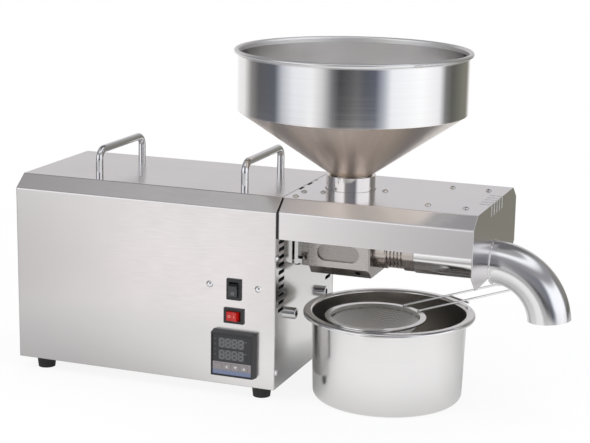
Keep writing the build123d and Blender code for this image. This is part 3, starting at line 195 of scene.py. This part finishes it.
def steel(name, colour, rough, grain=(40.0, 900.0, 900.0), turned=None, scratch=0.004,
          spread=0.04, anisotropy=0.0, inner=None, edge=0.0):
    """Metal with fine grain along one direction or round an axis, and faint handling marks.

    turned is the centre and the axis that the grain runs round, inner the centre, the colour and
    the added roughness of a bowl's inside, where a brighter colour is painted light, and edge
    the radius to which edges look rounded.
    """
    material, nodes, links = new_tree(name)
    shader = nodes["Principled BSDF"]
    place = place_of(nodes)
    if turned:
        field = scaled(nodes, links, round_axis(nodes, links, place, *turned),
                       (900.0, 900.0, 1.0))
    else:
        field = scaled(nodes, links, place, grain)
    lines = noise(nodes, links, field, 1.0, 3.0, 0.6)
    # broad patches, where the metal has worn a little darker
    cloudy = noise(nodes, links, place, 9.0, 3.0, 0.55)
    shade = noise_between(nodes, links, cloudy, 0.0, 1.0)
    worn = [c * t for c, t in zip(colour, (0.96, 0.96, 0.97))]
    base = blend_colour(nodes, links, shade, colour, worn)
    fine = noise_between(nodes, links, lines, 0.0, 0.08)
    base = blend_colour(nodes, links, fine, base, [c * 0.75 for c in colour])
    shader.inputs["Metallic"].default_value = 1.0
    level = noise_between(nodes, links, lines, rough - spread / 2, rough + spread / 2)
    wear = noise_between(nodes, links, cloudy, -spread / 3, spread / 3)
    level = maths(nodes, links, "ADD", level, wear, True)
    # painted light: a bowl's inside takes a brighter colour than its outside
    if inner:
        within = inside_of(nodes, links, place, inner[0])
        base = blend_colour(nodes, links, within, base, inner[1])
        level = maths(nodes, links, "ADD", level,
                      maths(nodes, links, "MULTIPLY", within, inner[2]), True)
    links.new(base, shader.inputs["Base Color"])
    links.new(level, shader.inputs["Roughness"])
    if anisotropy:
        shader.inputs["Anisotropic"].default_value = anisotropy
        direction = add(nodes, "ShaderNodeTangent", direction_type="RADIAL", axis="Z")
        links.new(direction.outputs[0], shader.inputs["Tangent"])
    bump = add(nodes, "ShaderNodeBump")
    bump.inputs["Strength"].default_value = scratch
    bump.inputs["Distance"].default_value = 0.0002
    links.new(lines, bump.inputs["Height"])
    if edge:
        soft_edge = add(nodes, "ShaderNodeBevel", samples=6)
        soft_edge.inputs["Radius"].default_value = edge
        links.new(soft_edge.outputs[0], bump.inputs["Normal"])
    links.new(bump.outputs[0], shader.inputs["Normal"])
    return material


def plastic(name, colour, rough, grain=1400.0, bumpy=0.06, spread=0.12, coat=0.0):
    """Moulded plastic, rubber or paint with a fine surface texture."""
    material, nodes, links = new_tree(name)
    shader = nodes["Principled BSDF"]
    place = place_of(nodes)
    fine = noise(nodes, links, place, grain, 2.0)
    soft = noise(nodes, links, place, 26.0, 3.0)
    base = blend_colour(nodes, links, noise_between(nodes, links, soft, 0.0, 1.0), colour,
                        [c * 0.86 + 0.004 for c in colour])
    links.new(base, shader.inputs["Base Color"])
    level = noise_between(nodes, links, soft, rough - spread / 2, rough + spread / 2)
    links.new(level, shader.inputs["Roughness"])
    if coat:
        shader.inputs["Coat Weight"].default_value = coat
    bump = add(nodes, "ShaderNodeBump")
    bump.inputs["Strength"].default_value = bumpy
    bump.inputs["Distance"].default_value = 0.0003
    links.new(fine, bump.inputs["Height"])
    links.new(bump.outputs[0], shader.inputs["Normal"])
    return material


def middle(node):
    """The middle of a CAD piece's box."""
    low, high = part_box(node)
    return (low + high) / 2


def dress(material, *names):
    """Gives the material to CAD pieces."""
    for name in names:
        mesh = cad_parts[name].data
        mesh.materials.clear()
        mesh.materials.append(material)


# Materials of the CAD pieces
hopper_centre = tuple(middle("hopper"))
pot_centre = tuple(middle("oil_pot"))
barrel_centre = tuple(middle("press_barrel"))
neck_centre = tuple(middle("feed_neck"))
dress(steel("panel_steel", (0.80, 0.775, 0.77), 0.2, (55.0, 700.0, 700.0), edge=0.0013),
      "body_cover", "base_plate")
dress(steel("cover_steel", (0.80, 0.78, 0.785), 0.17, (60.0, 700.0, 700.0), edge=0.0013),
      "head_cover")
dress(steel("plate_steel", (0.78, 0.77, 0.76), 0.18, (700.0, 55.0, 700.0), edge=0.0006),
      "left_end_plate", "right_end_plate")
dress(steel("polished_steel", (0.80, 0.80, 0.80), 0.07, (220.0, 220.0, 220.0), scratch=0.002,
            spread=0.02), "carrying_handles", "press_flange")
dress(steel("elbow_steel", (0.79, 0.785, 0.79), 0.17, (220.0, 220.0, 220.0), scratch=0.002,
            spread=0.03), "cake_elbow")
dress(steel("drawn_wire", (0.93, 0.92, 0.91), 0.3, (300.0, 300.0, 300.0)), "strainer_handle")
dress(steel("bright_screw", (0.80, 0.80, 0.80), 0.14, (500.0, 500.0, 500.0), spread=0.08),
      "body_screws", "cover_screws", "gearbox_screws", "flange_bolts", "foot_screws",
      "handle_nuts")
dress(steel("neck_steel", (0.80, 0.77, 0.74), 0.1, turned=(neck_centre, UPRIGHT)), "feed_neck")
dress(steel("barrel_steel", (0.80, 0.79, 0.78), 0.12, turned=(barrel_centre, ALONG_X)),
      "press_barrel", "cake_nozzle")
dress(steel("cage_steel", (0.62, 0.56, 0.52), 0.26, turned=(barrel_centre, ALONG_X),
            spread=0.12), "drain_cage", "barrel_nut")
# The feed block's machined recess lies this far behind its face. The block's steel is painted
# darker than the other steel as painted shade under the cover, and the recess darker still as
# painted shade
recess = 0.0006
block = steel("block_steel", (0.60, 0.565, 0.545), 0.28, (60.0, 600.0, 600.0), spread=0.08,
              scratch=0.01, edge=0.0006)
nodes, links = block.node_tree.nodes, block.node_tree.links
behind_face = split(nodes, links, place_of(nodes))[1]
# painted shade: the recess is given a darker colour than the block's face
recess_shade = maths(nodes, links, "GREATER_THAN", behind_face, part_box("feed_block")[0].y + recess)
tone = nodes["Principled BSDF"].inputs["Base Color"].links[0].from_socket
links.new(blend_colour(nodes, links, recess_shade, tone, (0.40, 0.375, 0.355)),
          nodes["Principled BSDF"].inputs["Base Color"])
dress(block, "feed_block")
dress(steel("screw_steel", (0.55, 0.54, 0.53), 0.25, turned=(barrel_centre, ALONG_X),
            spread=0.1), "press_screw", "output_shaft", "motor_rotor", "heater_cartridges")
dress(steel("gear_steel", (0.50, 0.49, 0.47), 0.32, turned=(barrel_centre, ALONG_X),
            spread=0.14), "output_gear", "counter_gear", "counter_pinion", "motor_pinion")
# painted light: the pot's inside is given a brighter colour than its outside
dress(steel("pot_steel", (0.82, 0.81, 0.80), 0.16, turned=(pot_centre, UPRIGHT), anisotropy=0.3,
            inner=(pot_centre, (0.95, 0.92, 0.88), 0.05)), "oil_pot")
dress(steel("strainer_steel", (0.80, 0.79, 0.77), 0.2, (300.0, 300.0, 300.0), spread=0.08),
      "strainer_ring", "strainer_mesh")
dress(steel("inner_steel", (0.66, 0.66, 0.66), 0.35, (60.0, 500.0, 500.0), spread=0.1),
      "cover_rail", "neck_ring", "barrel_saddle", "motor_cradles")
dress(steel("motor_alloy", (0.68, 0.69, 0.70), 0.42, (300.0, 300.0, 300.0), spread=0.15,
            scratch=0.06), "motor_housing", "motor_shields")
dress(steel("bearing_bronze", (0.62, 0.44, 0.22), 0.3, turned=(barrel_centre, ALONG_X),
            spread=0.1), "output_bearing", "temperature_probe")
dress(plastic("cast_paint", (0.21, 0.22, 0.23), 0.55, 600.0, 0.35), "gearbox_housing",
      "gearbox_lid")
dress(plastic("rubber", (0.02, 0.02, 0.02), 0.62, 900.0, 0.2), "rubber_feet", "seam_seal")
dress(plastic("black_plastic", (0.022, 0.022, 0.024), 0.4), "black_switch_frame",
      "red_switch_frame", "controller_case", "motor_fan", "fan_shell", "cord_gland")
dress(plastic("black_rocker", (0.03, 0.032, 0.036), 0.26, coat=0.3), "black_rocker")
dress(plastic("red_rocker", (0.62, 0.012, 0.008), 0.2, coat=0.5), "red_rocker")
dress(plastic("white_plastic", (0.72, 0.72, 0.70), 0.4), "run_capacitor")
dress(plastic("grey_plastic", (0.32, 0.33, 0.34), 0.45), "heater_relay")
dress(plastic("key_rubber", (0.33, 0.30, 0.305), 0.5), "set_key", "shift_key", "down_key",
      "up_key")

# Hopper: mirror-like band between these heights and the rolled lip, and below it a satin cone
# with soft streaks, whose warm, bright colour is a painted reflection of warm surroundings
band_foot = (0.2895, 0.2925)
lip_height = 0.006
hopper_material, nodes, links = new_tree("spun_steel")
shader = nodes["Principled BSDF"]
place = place_of(nodes)
field = round_axis(nodes, links, place, hopper_centre, UPRIGHT)
rings = noise(nodes, links, scaled(nodes, links, field, (700.0, 700.0, 1.0)), 1.0, 3.0, 0.6)
height = split(nodes, links, place)[2]
band = step_between(nodes, links, height, *band_foot)
x, y = split(nodes, links, from_centre(nodes, links, place, hopper_centre))[:2]
angle = maths(nodes, links, "ARCTAN2", y, x)
joined = add(nodes, "ShaderNodeCombineXYZ")
for socket, wave in zip(joined.inputs, ("SINE", "COSINE")):
    links.new(maths(nodes, links, "MULTIPLY", maths(nodes, links, wave, angle), 9.0), socket)
streaks = noise(nodes, links, joined.outputs[0], 1.6, 3.0, 0.6)
streaks = noise_between(nodes, links, streaks, 0.0, 1.0)
# streaks of the spun finish, in warm, bright tones that are a painted reflection
cone_streaks_and_reflection = blend_colour(nodes, links, streaks, (0.96, 0.885, 0.81), (0.86, 0.785, 0.71))
base = blend_colour(nodes, links, band, cone_streaks_and_reflection, (0.82, 0.815, 0.81))
under_lip = maths(nodes, links, "LESS_THAN", height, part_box("hopper")[1].z - lip_height)
ringed = maths(nodes, links, "MULTIPLY", band, under_lip)
fine = maths(nodes, links, "MULTIPLY", noise_between(nodes, links, rings, 0.0, 0.08), ringed)
base = blend_colour(nodes, links, fine, base, (0.55, 0.54, 0.53))
within = inside_of(nodes, links, place, hopper_centre)
# painted light: the inside is given a brighter colour than the outside
base = blend_colour(nodes, links, within, base, (0.975, 0.965, 0.955))
links.new(base, shader.inputs["Base Color"])
shader.inputs["Metallic"].default_value = 1.0
level = maths(nodes, links, "SUBTRACT", 0.3, maths(nodes, links, "MULTIPLY", ringed, 0.2))
level = maths(nodes, links, "ADD", level, maths(nodes, links, "MULTIPLY", within, 0.1))
level = maths(nodes, links, "ADD", level, maths(
    nodes, links, "MULTIPLY", noise_between(nodes, links, rings, -0.02, 0.02), ringed), True)
links.new(level, shader.inputs["Roughness"])
dress(hopper_material, "hopper")

# Controller front: smoked window above, taupe key strip and a bluish strip below
strip_top = 0.0131
blue_top = 0.0046
face_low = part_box("controller_face")[0]
face_material, nodes, links = new_tree("controller_front")
shader = nodes["Principled BSDF"]
place = place_of(nodes)
height = maths(nodes, links, "SUBTRACT", split(nodes, links, place)[2], face_low.z)
over_strip = maths(nodes, links, "GREATER_THAN", height, strip_top)
over_blue = maths(nodes, links, "GREATER_THAN", height, blue_top)
soft = noise(nodes, links, place, 60.0, 2.0)
window = blend_colour(nodes, links, soft, (0.020, 0.020, 0.024), (0.030, 0.030, 0.036))
strip = blend_colour(nodes, links, over_blue, (0.20, 0.24, 0.36), (0.33, 0.30, 0.305))
links.new(blend_colour(nodes, links, over_strip, strip, window), shader.inputs["Base Color"])
gloss = maths(nodes, links, "MULTIPLY", over_strip, 0.24)
links.new(maths(nodes, links, "SUBTRACT", 0.42, gloss), shader.inputs["Roughness"])
dress(face_material, "controller_face")


def mesh_piece(name, vertices, faces, material, body, smooth=False):
    """A new piece on one of the part's bodies."""
    mesh = bpy.data.meshes.new(name)
    mesh.from_pydata(vertices, [], faces)
    mesh.update()
    piece = bpy.data.objects.new(name, mesh)
    scene.collection.objects.link(piece)
    mesh.materials.append(material)
    for polygon in mesh.polygons:
        polygon.use_smooth = smooth
    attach(piece, body)
    return piece


def rectangle(x0, x1, z0, z1):
    return [(x0, z0), (x1, z0), (x1, z1), (x0, z1)]


def moved(outline, x, z):
    return [(x + a, z + b) for a, b in outline]


def flat_shapes(name, shapes, front, thickness, material, body):
    """Thin raised shapes given as outlines in X and Z, standing on a plane of constant Y."""
    vertices = []
    faces = []
    for outline in shapes:
        first = len(vertices)
        count = len(outline)
        vertices += [(x, front - thickness, z) for x, z in outline]
        vertices += [(x, front, z) for x, z in outline]
        faces.append(list(range(first, first + count)))
        faces.append(list(range(first + 2 * count - 1, first + count - 1, -1)))
        for index in range(count):
            after = (index + 1) % count
            faces.append((first + after, first + index, first + count + index,
                          first + count + after))
    mesh_piece(name, vertices, faces, material, body)


def bar(x, z, length, width, upright):
    """One segment of a digit with pointed ends."""
    half = length / 2
    nib = width / 2
    points = [(-half, 0), (-half + nib, -nib), (half - nib, -nib), (half, 0), (half - nib, nib),
              (-half + nib, nib)]
    if upright:
        points = [(-b, a) for a, b in points]
    return moved(points, x, z)


def digit(x, z, width, height, thick):
    """All seven segments of a digit whose lower left corner is at x, z."""
    half = (height - thick) / 2
    across = width - thick
    gapped = 0.92
    left_edge, foot = x + thick / 2, z + thick / 2
    shapes = []
    for row in range(3):
        shapes.append(bar(x + width / 2, foot + row * half, across * gapped, thick, False))
    for row in (0.5, 1.5):
        for column in range(2):
            shapes.append(bar(left_edge + column * across, foot + row * half, half * gapped,
                              thick, True))
    return shapes


# Controller: two rows of digits on darker panes, a tick after each row, four lamps at the left
case_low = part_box("controller_case")[0]
left = case_low.x
bottom = case_low.z
front = face_low.y
digit_width, digit_height, segment = 0.0062, 0.0098, 0.0016
digit_step = 0.0069
row_tops = (0.0413, 0.0287)
pane_left, pane_right, pane_margin, pane_thickness = 0.0094, 0.0375, 0.0005, 0.00006
tick_right, tick_top, tick_foot = 0.0405, 0.0016, 0.0022
lamp_left, lamp_right, lamp_half = 0.0046, 0.0066, 0.0009
shapes = []
panes = []
for top in row_tops:
    foot = top - digit_height
    for column in range(4):
        shapes += digit(left + pane_left + pane_margin + column * digit_step, bottom + foot,
                        digit_width, digit_height, segment)
    panes.append(moved(rectangle(pane_left, pane_right, foot - pane_margin, top + pane_margin),
                       left, bottom))
    shapes.append(moved(rectangle(pane_right, tick_right, top - tick_foot, top - tick_top),
                        left, bottom))
lamps = [moved(rectangle(lamp_left, lamp_right, z - lamp_half, z + lamp_half), left, bottom)
         for z in (0.0400, 0.0345, 0.0290, 0.0235)]
lit = plastic("digit_grey", (0.185, 0.19, 0.20), 0.5, bumpy=0.0)
flat_shapes("controller_digits", shapes, front - pane_thickness, 0.00008, lit, "machine")
pane = plastic("digit_pane", (0.062, 0.062, 0.068), 0.35, bumpy=0.0)
flat_shapes("controller_panes", panes, front, pane_thickness, pane, "machine")
dim = plastic("indicator_grey", (0.075, 0.075, 0.08), 0.5, bumpy=0.0)
flat_shapes("controller_lamps", lamps, front, 0.00012, dim, "machine")

# Keys: three arrows and two dots
white = plastic("print_white", (0.78, 0.78, 0.77), 0.5, bumpy=0.0)
for node, outline in (
    ("shift_key", [(-0.0015, 0), (0.0012, -0.0017), (0.0005, 0), (0.0012, 0.0017)]),
    ("down_key", [(0, -0.0014), (0.0017, 0.0013), (-0.0017, 0.0013)]),
    ("up_key", [(0, 0.0014), (-0.0017, -0.0013), (0.0017, -0.0013)]),
):
    centre = middle(node)
    flat_shapes(node + "_mark", [moved(outline, centre.x, centre.z)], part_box(node)[0].y, PRINT,
                white, "key_" + node.split("_")[0])
centre = middle("set_key")
dot = rectangle(-0.0008, 0.0008, -0.0004, 0.0004)
pink = plastic("print_pink", (0.45, 0.33, 0.34), 0.5, bumpy=0.0)
flat_shapes("set_key_mark", [moved(dot, centre.x + x, centre.z) for x in (-0.0014, 0.0014)],
            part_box("set_key")[0].y, PRINT, pink, "key_set")


# Rockers: the pivot lies behind the frame's front, and each is tilted to one side at rest
pivot_depth = 0.0053
rocker_tilt = radians(7.0)
# A rocker's front stands this far before its pivot, and rises by this slope towards its ends
rocker_reach = 0.0076
rocker_slope = 0.25


def rocker_mark(name, frame_node, flat, along, ring, material, body):
    """Small ring or bar printed on one half of a tilted rocker's front."""
    centre = middle(frame_node)
    place = Matrix.Translation((centre.x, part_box(frame_node)[0].y + pivot_depth, centre.z))
    if flat:
        place = place @ Matrix.Rotation(pi / 2, 4, "Y")
    place = place @ Matrix.Rotation(rocker_tilt, 4, "X")
    if ring:
        angles = [2 * pi * step / 20 for step in range(20)]
        outlines = [[(radius * cos(a), along + radius * sin(a)) for a in angles]
                    for radius in (0.0016, 0.0009)]
    else:
        outlines = [rectangle(-0.0014, 0.0014, along - 0.0003, along + 0.0003)]
    vertices = []
    # from just above the rocker's front to a little below it
    for lift in (PRINT, -2 * PRINT):
        for outline in outlines:
            for x, z in outline:
                depth = -rocker_reach - abs(z) * rocker_slope - lift
                vertices.append(tuple(place @ Vector((x, depth, z))))
    count = len(outlines[0])
    faces = []
    if ring:
        for i in range(count):
            j = (i + 1) % count
            a, b = 0, count
            c, d = 2 * count, 3 * count
            faces += [(a + i, a + j, b + j, b + i), (c + i, d + i, d + j, c + j),
                      (a + i, c + i, c + j, a + j), (b + i, b + j, d + j, d + i)]
    else:
        faces = [(0, 1, 2, 3), (7, 6, 5, 4), (0, 4, 5, 1), (1, 5, 6, 2), (2, 6, 7, 3),
                 (3, 7, 4, 0)]
    mesh_piece(name, vertices, faces, material, body)


faint = plastic("print_grey", (0.22, 0.22, 0.23), 0.5, bumpy=0.0)
soft_pink = plastic("print_soft_pink", (0.80, 0.36, 0.33), 0.4, bumpy=0.0)
rocker_mark("power_off_mark", "black_switch_frame", False, -0.0024, True, faint, "power_rocker")
rocker_mark("heat_off_mark", "red_switch_frame", True, -0.0027, True, soft_pink, "heat_rocker")
rocker_mark("heat_on_mark", "red_switch_frame", True, 0.0027, False, soft_pink, "heat_rocker")

# Weld bead round the elbow's root on the cover's end wall
wall_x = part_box("head_cover")[1].x
weld_z = middle("press_barrel").z - 0.0005
elbow_radius = 0.0219
bead, ripple, ripples = 0.0010, 0.00025, 24
turns, sides = 96, 6
vertices = []
faces = []
for index in range(turns):
    around = 2 * pi * index / turns
    size = bead + ripple * sin(around * ripples)
    for corner in range(sides):
        tip = 2 * pi * corner / sides
        radius = elbow_radius + size * cos(tip)
        vertices.append((wall_x + size * sin(tip), radius * cos(around),
                         weld_z + radius * sin(around)))
    for corner in range(sides):
        after = (corner + 1) % sides
        first = index * sides
        second = ((index + 1) % turns) * sides
        faces.append((first + corner, first + after, second + after, second + corner))
weld_steel = steel("weld_steel", (0.78, 0.77, 0.76), 0.2, (400.0, 400.0, 400.0), spread=0.1)
mesh_piece("elbow_weld", vertices, faces, weld_steel, "cover", True)

# Strainer: woven wires in place of the plain bowl, along the middle of its wall
mesh_low, mesh_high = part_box("strainer_mesh")
mesh_middle = middle("strainer_mesh")
rim = (mesh_high.x - mesh_low.x) / 2
depth = mesh_high.z - mesh_low.z
half_wall = 0.00035
ball = (rim * rim + depth * depth) / (2 * depth) - half_wall
ball_z = mesh_low.z + half_wall + ball
wire_pitch = 0.0015
wire = 0.00027
count = int((rim - 0.0005) / wire_pitch)
vertices = []
faces = []
for direction in (0, 1):
    for line in range(-count, count + 1):
        offset = line * wire_pitch
        reach = int(sqrt(max((rim - 0.0003) ** 2 - offset * offset, 0)) / wire_pitch)
        if reach < 2:
            continue
        first = len(vertices)
        for step in range(-reach, reach + 1):
            along = step * wire_pitch
            x, y = (offset, along) if direction else (along, offset)
            over = wire * (1 if (line + step + direction) % 2 else -1)
            normal = Vector((x, y, -sqrt(ball * ball - x * x - y * y))).normalized()
            centre = normal * (ball + over)
            run = Vector((0, 1, 0)) if direction else Vector((1, 0, 0))
            sideways = normal.cross(run).normalized()
            for turn in range(4):
                around = turn * pi / 2 + pi / 4
                point = centre + (normal * sin(around) + sideways * cos(around)) * wire
                vertices.append((mesh_middle.x + point.x, mesh_middle.y + point.y,
                                 ball_z + point.z))
        rings = 2 * reach + 1
        for ring in range(rings - 1):
            for turn in range(4):
                after = (turn + 1) % 4
                a, b = first + ring * 4, first + (ring + 1) * 4
                faces.append((a + turn, a + after, b + after, b + turn))
        faces.append((first + 3, first + 2, first + 1, first))
        last = first + (rings - 1) * 4
        faces.append((last, last + 1, last + 2, last + 3))
wire_steel = steel("wire_steel", (0.93, 0.91, 0.88), 0.36, (400.0, 400.0, 400.0), spread=0.1)
wire_steel.node_tree.nodes["Principled BSDF"].inputs["Metallic"].default_value = 0.1
weave = mesh_piece("strainer_weave", vertices, faces, wire_steel, "strainer", True)
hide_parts("strainer_mesh")

# Camera at the photograph's place
camera_place = (0.568713, -1.521834, 0.541561)
yaw, pitch, roll = radians(20.44), radians(12.9092), radians(0.9249)
forward = Vector((-sin(yaw) * cos(pitch), cos(yaw) * cos(pitch), -sin(pitch)))
across = Vector((cos(yaw), sin(yaw), 0.0))
upward = across.cross(forward)
side = across * cos(roll) + upward * sin(roll)
top = upward * cos(roll) - across * sin(roll)
camera = bpy.data.objects.new("camera", bpy.data.cameras.new("camera"))
camera.data.lens = 97.244
camera.data.sensor_width = 36.0
camera.data.clip_start = 0.05
camera.matrix_world = Matrix.Translation(camera_place) @ Matrix(
    (side, top, -forward)).transposed().to_4x4()
scene.collection.objects.link(camera)
scene.camera = camera


# Floor and world: white to the camera, with a studio's bright and dark sides in the metal
def camera_or_glossy(nodes, links):
    """One for rays that show the floor itself or its image in metal or glass."""
    path = add(nodes, "ShaderNodeLightPath")
    seen = maths(nodes, links, "MAXIMUM", path.outputs["Is Camera Ray"],
                 path.outputs["Is Glossy Ray"])
    return maths(nodes, links, "MAXIMUM", seen, path.outputs["Is Transmission Ray"])


bpy.ops.mesh.primitive_plane_add(size=1.0, location=(0.05, 0.14, -0.0002))
floor = bpy.context.object
floor.name = "floor"
floor.scale = (1.5, 0.96, 1.0)
floor_material, nodes, links = new_tree("floor_white")
shader = nodes["Principled BSDF"]
shader.inputs["Base Color"].default_value = (0.86, 0.86, 0.86, 1.0)
shader.inputs["Roughness"].default_value = 0.9
# In the metal the floor is bright in front and dim in the machine's own shade behind the pot.
# Greys by degrees round the pot, and by the distance from its middle
spot = add(nodes, "ShaderNodeNewGeometry").outputs["Position"]
x, y = split(nodes, links, from_centre(nodes, links, spot, pot_centre))[:2]
round_pot = ((-180, 0.70), (-165, 0.52), (-150, 0.44), (-125, 0.40), (-110, 0.42), (-101, 0.47),
             (-92, 0.56), (-84, 0.66), (-72, 0.88), (-60, 0.97), (-42, 1.0), (0, 1.03),
             (60, 1.0), (86, 0.85), (104, 0.69), (125, 0.55), (150, 0.80), (180, 0.90))
from_pot = ((0.085, 0.76), (0.115, 0.86), (0.16, 1.0), (0.21, 1.04), (0.34, 0.97), (0.45, 0.93),
            (0.6, 0.84))
around = ramp(nodes, links, turn_of(nodes, links, x, y), degree_stops(round_pot))
away = split(nodes, links, round_axis(nodes, links, spot, pot_centre, UPRIGHT))[0]
outward = ramp(nodes, links, away, [(metres, (grey,) * 3) for metres, grey in from_pot])
shade = blend_colour(nodes, links, 1.0, around, outward, "MULTIPLY")
glow = add(nodes, "ShaderNodeEmission")
seen = add(nodes, "ShaderNodeLightPath").outputs["Is Camera Ray"]
links.new(blend_colour(nodes, links, seen, shade, (1.0, 1.0, 1.0)), glow.inputs["Color"])
glow.inputs["Strength"].default_value = 1.03
mix = add(nodes, "ShaderNodeMixShader")
# The rest is the floor's own surface, which keeps the object's shadow
glow_share = 0.85
share = maths(nodes, links, "MULTIPLY", camera_or_glossy(nodes, links), glow_share)
links.new(share, mix.inputs[0])
links.new(shader.outputs[0], mix.inputs[1])
links.new(glow.outputs[0], mix.inputs[2])
links.new(mix.outputs[0], nodes["Material Output"].inputs["Surface"])
floor.data.materials.append(floor_material)

world = bpy.data.worlds.new("studio")
scene.world = world
world.use_nodes = True
nodes = world.node_tree.nodes
links = world.node_tree.links
nodes.clear()
x, y, z = split(nodes, links, add(nodes, "ShaderNodeTexCoord").outputs["Generated"])
turn = turn_of(nodes, links, x, y)
# Colours by degrees from the photographer's side: at eye level, above it and below it
low_bands = (
    (-180, (0.98, 0.97, 0.98)), (-138, (0.95, 0.94, 0.94)), (-122, (0.30, 0.29, 0.28)),
    (-108, (0.12, 0.12, 0.13)), (-84, (0.12, 0.13, 0.16)), (-75, (0.62, 0.64, 0.70)),
    (-62, (0.98, 1.0, 1.05)), (-42, (1.05, 1.06, 1.08)), (-32, (0.78, 0.78, 0.79)),
    (-22, (0.20, 0.20, 0.21)), (-15, (0.055, 0.055, 0.06)), (-6, (0.09, 0.09, 0.095)),
    (2, (0.14, 0.14, 0.145)), (10, (0.09, 0.095, 0.12)), (20, (0.10, 0.11, 0.15)),
    (29, (0.50, 0.53, 0.60)), (36, (1.04, 1.06, 1.11)), (68, (1.22, 1.23, 1.25)),
    (92, (1.02, 1.02, 1.05)), (101, (0.22, 0.22, 0.22)), (112, (0.12, 0.12, 0.11)),
    (136, (0.23, 0.225, 0.19)), (150, (0.25, 0.24, 0.20)), (160, (0.80, 0.79, 0.78)),
    (180, (0.98, 0.97, 0.98)),
)
high_bands = (
    (-180, (0.70, 0.685, 0.70)), (-140, (0.66, 0.645, 0.66)), (-122, (0.25, 0.25, 0.26)),
    (-88, (0.16, 0.17, 0.20)), (-76, (1.10, 1.12, 1.18)), (-36, (1.30, 1.31, 1.34)),
    (-26, (0.30, 0.30, 0.31)), (18, (0.20, 0.21, 0.25)), (32, (1.20, 1.23, 1.30)),
    (90, (1.25, 1.27, 1.32)), (102, (0.24, 0.24, 0.24)), (140, (0.30, 0.29, 0.27)),
    (160, (0.66, 0.65, 0.66)), (180, (0.70, 0.685, 0.70)),
)
below_bands = (
    (-180, (0.97, 0.96, 0.97)), (-110, (0.80, 0.79, 0.79)), (-75, (0.25, 0.245, 0.24)),
    (-58, (0.32, 0.315, 0.31)), (-51, (0.50, 0.485, 0.475)), (-48.5, (0.82, 0.80, 0.79)),
    (-46.5, (1.14, 1.11, 1.10)), (-43.5, (1.32, 1.29, 1.28)), (-41.5, (0.98, 0.97, 0.96)),
    (-38.5, (0.74, 0.72, 0.72)), (-36, (0.54, 0.53, 0.53)), (-32, (0.40, 0.40, 0.40)),
    (-20, (0.60, 0.60, 0.60)), (0, (0.90, 0.90, 0.90)), (95, (0.97, 0.97, 0.98)),
    (112, (0.40, 0.39, 0.37)), (136, (0.23, 0.225, 0.19)), (152, (0.25, 0.24, 0.20)),
    (165, (0.80, 0.79, 0.78)), (180, (0.97, 0.96, 0.97)),
)
# Greys by height, from halfway up to the zenith
overhead = ((0.5, 0.42), (0.80, 0.33), (0.87, 0.36), (0.885, 0.47), (0.905, 0.57),
            (0.925, 0.63), (0.935, 0.60), (0.945, 0.46), (0.96, 0.36), (1.0, 0.34))
# Parts of the sky: one for the softbox in front, one for the dark behind
front_side = ((-180, 0.0), (-58, 0.0), (-40, 1.0), (112, 1.0), (130, 0.0), (180, 0.0))
rear_side = ((-180, 1.0), (-145, 1.0), (-128, 0.0), (125, 0.0), (145, 1.0), (180, 1.0))
low, high, below, front_box, behind = [
    ramp(nodes, links, turn, degree_stops(bands))
    for bands in (low_bands, high_bands, below_bands, front_side, rear_side)]
above = ramp(nodes, links, z, [(place, (grey, grey, grey * 1.01)) for place, grey in overhead])


def by_height(start, end, lower, upper):
    """The lower colour below the start, the upper one above the end."""
    return blend_colour(nodes, links, step_between(nodes, links, z, start, end), lower, upper)


# Heights between which one part of the surroundings passes into the next
ground_edge, eye_level, sky_edge = (-0.205, -0.17), (-0.04, 0.06), (0.42, 0.55)
softbox_foot, softbox_top = (0.70, 0.84), (0.90, 0.95)
softbox = by_height(*softbox_foot, (0.34, 0.34, 0.36), (1.18, 1.20, 1.24))
softbox = by_height(*softbox_top, softbox, (0.40, 0.40, 0.41))
above = blend_colour(nodes, links, front_box, above, softbox)
above = blend_colour(nodes, links, behind, above, (0.17, 0.17, 0.18))
level = by_height(*ground_edge, below, by_height(*eye_level, low, high))
shown = by_height(*sky_edge, level, above)
# Other rays, which light the object, meet a plain grey, and the camera sees white
path = add(nodes, "ShaderNodeLightPath")
plain = (0.62, 0.62, 0.63)
mirrored = blend_colour(nodes, links, path.outputs["Is Glossy Ray"], plain, shown)
final = blend_colour(nodes, links, path.outputs["Is Camera Ray"], mirrored, (1.0, 1.0, 1.0))
background = add(nodes, "ShaderNodeBackground")
links.new(final, background.inputs[0])
output = add(nodes, "ShaderNodeOutputWorld")
links.new(background.outputs[0], output.inputs[0])


def lamp(name, place, aim, size, power, colour=(1.0, 1.0, 1.0)):
    """A softbox that metal doesn't mirror, because the world has its image already."""
    data = bpy.data.lights.new(name, "AREA")
    data.shape = "RECTANGLE"
    data.size, data.size_y = size
    data.energy = power
    data.color = colour
    lamp_object = bpy.data.objects.new(name, data)
    lamp_object.location = place
    lamp_object.rotation_mode = "QUATERNION"
    lamp_object.rotation_quaternion = (Vector(aim) - Vector(place)).to_track_quat("-Z", "Y")
    lamp_object.visible_glossy = False
    scene.collection.objects.link(lamp_object)


lamp("left_softbox", (-1.1, -1.3, 1.5), (0.0, 0.0, 0.1), (1.0, 1.0), 11.0)
lamp("right_softbox", (1.7, -0.9, 1.3), (0.0, 0.0, 0.15), (1.0, 1.2), 12.0, (0.97, 0.98, 1.0))
lamp("top_softbox", (0.0, 0.5, 2.0), (0.0, 0.0, 0.1), (1.4, 1.0), 9.0)
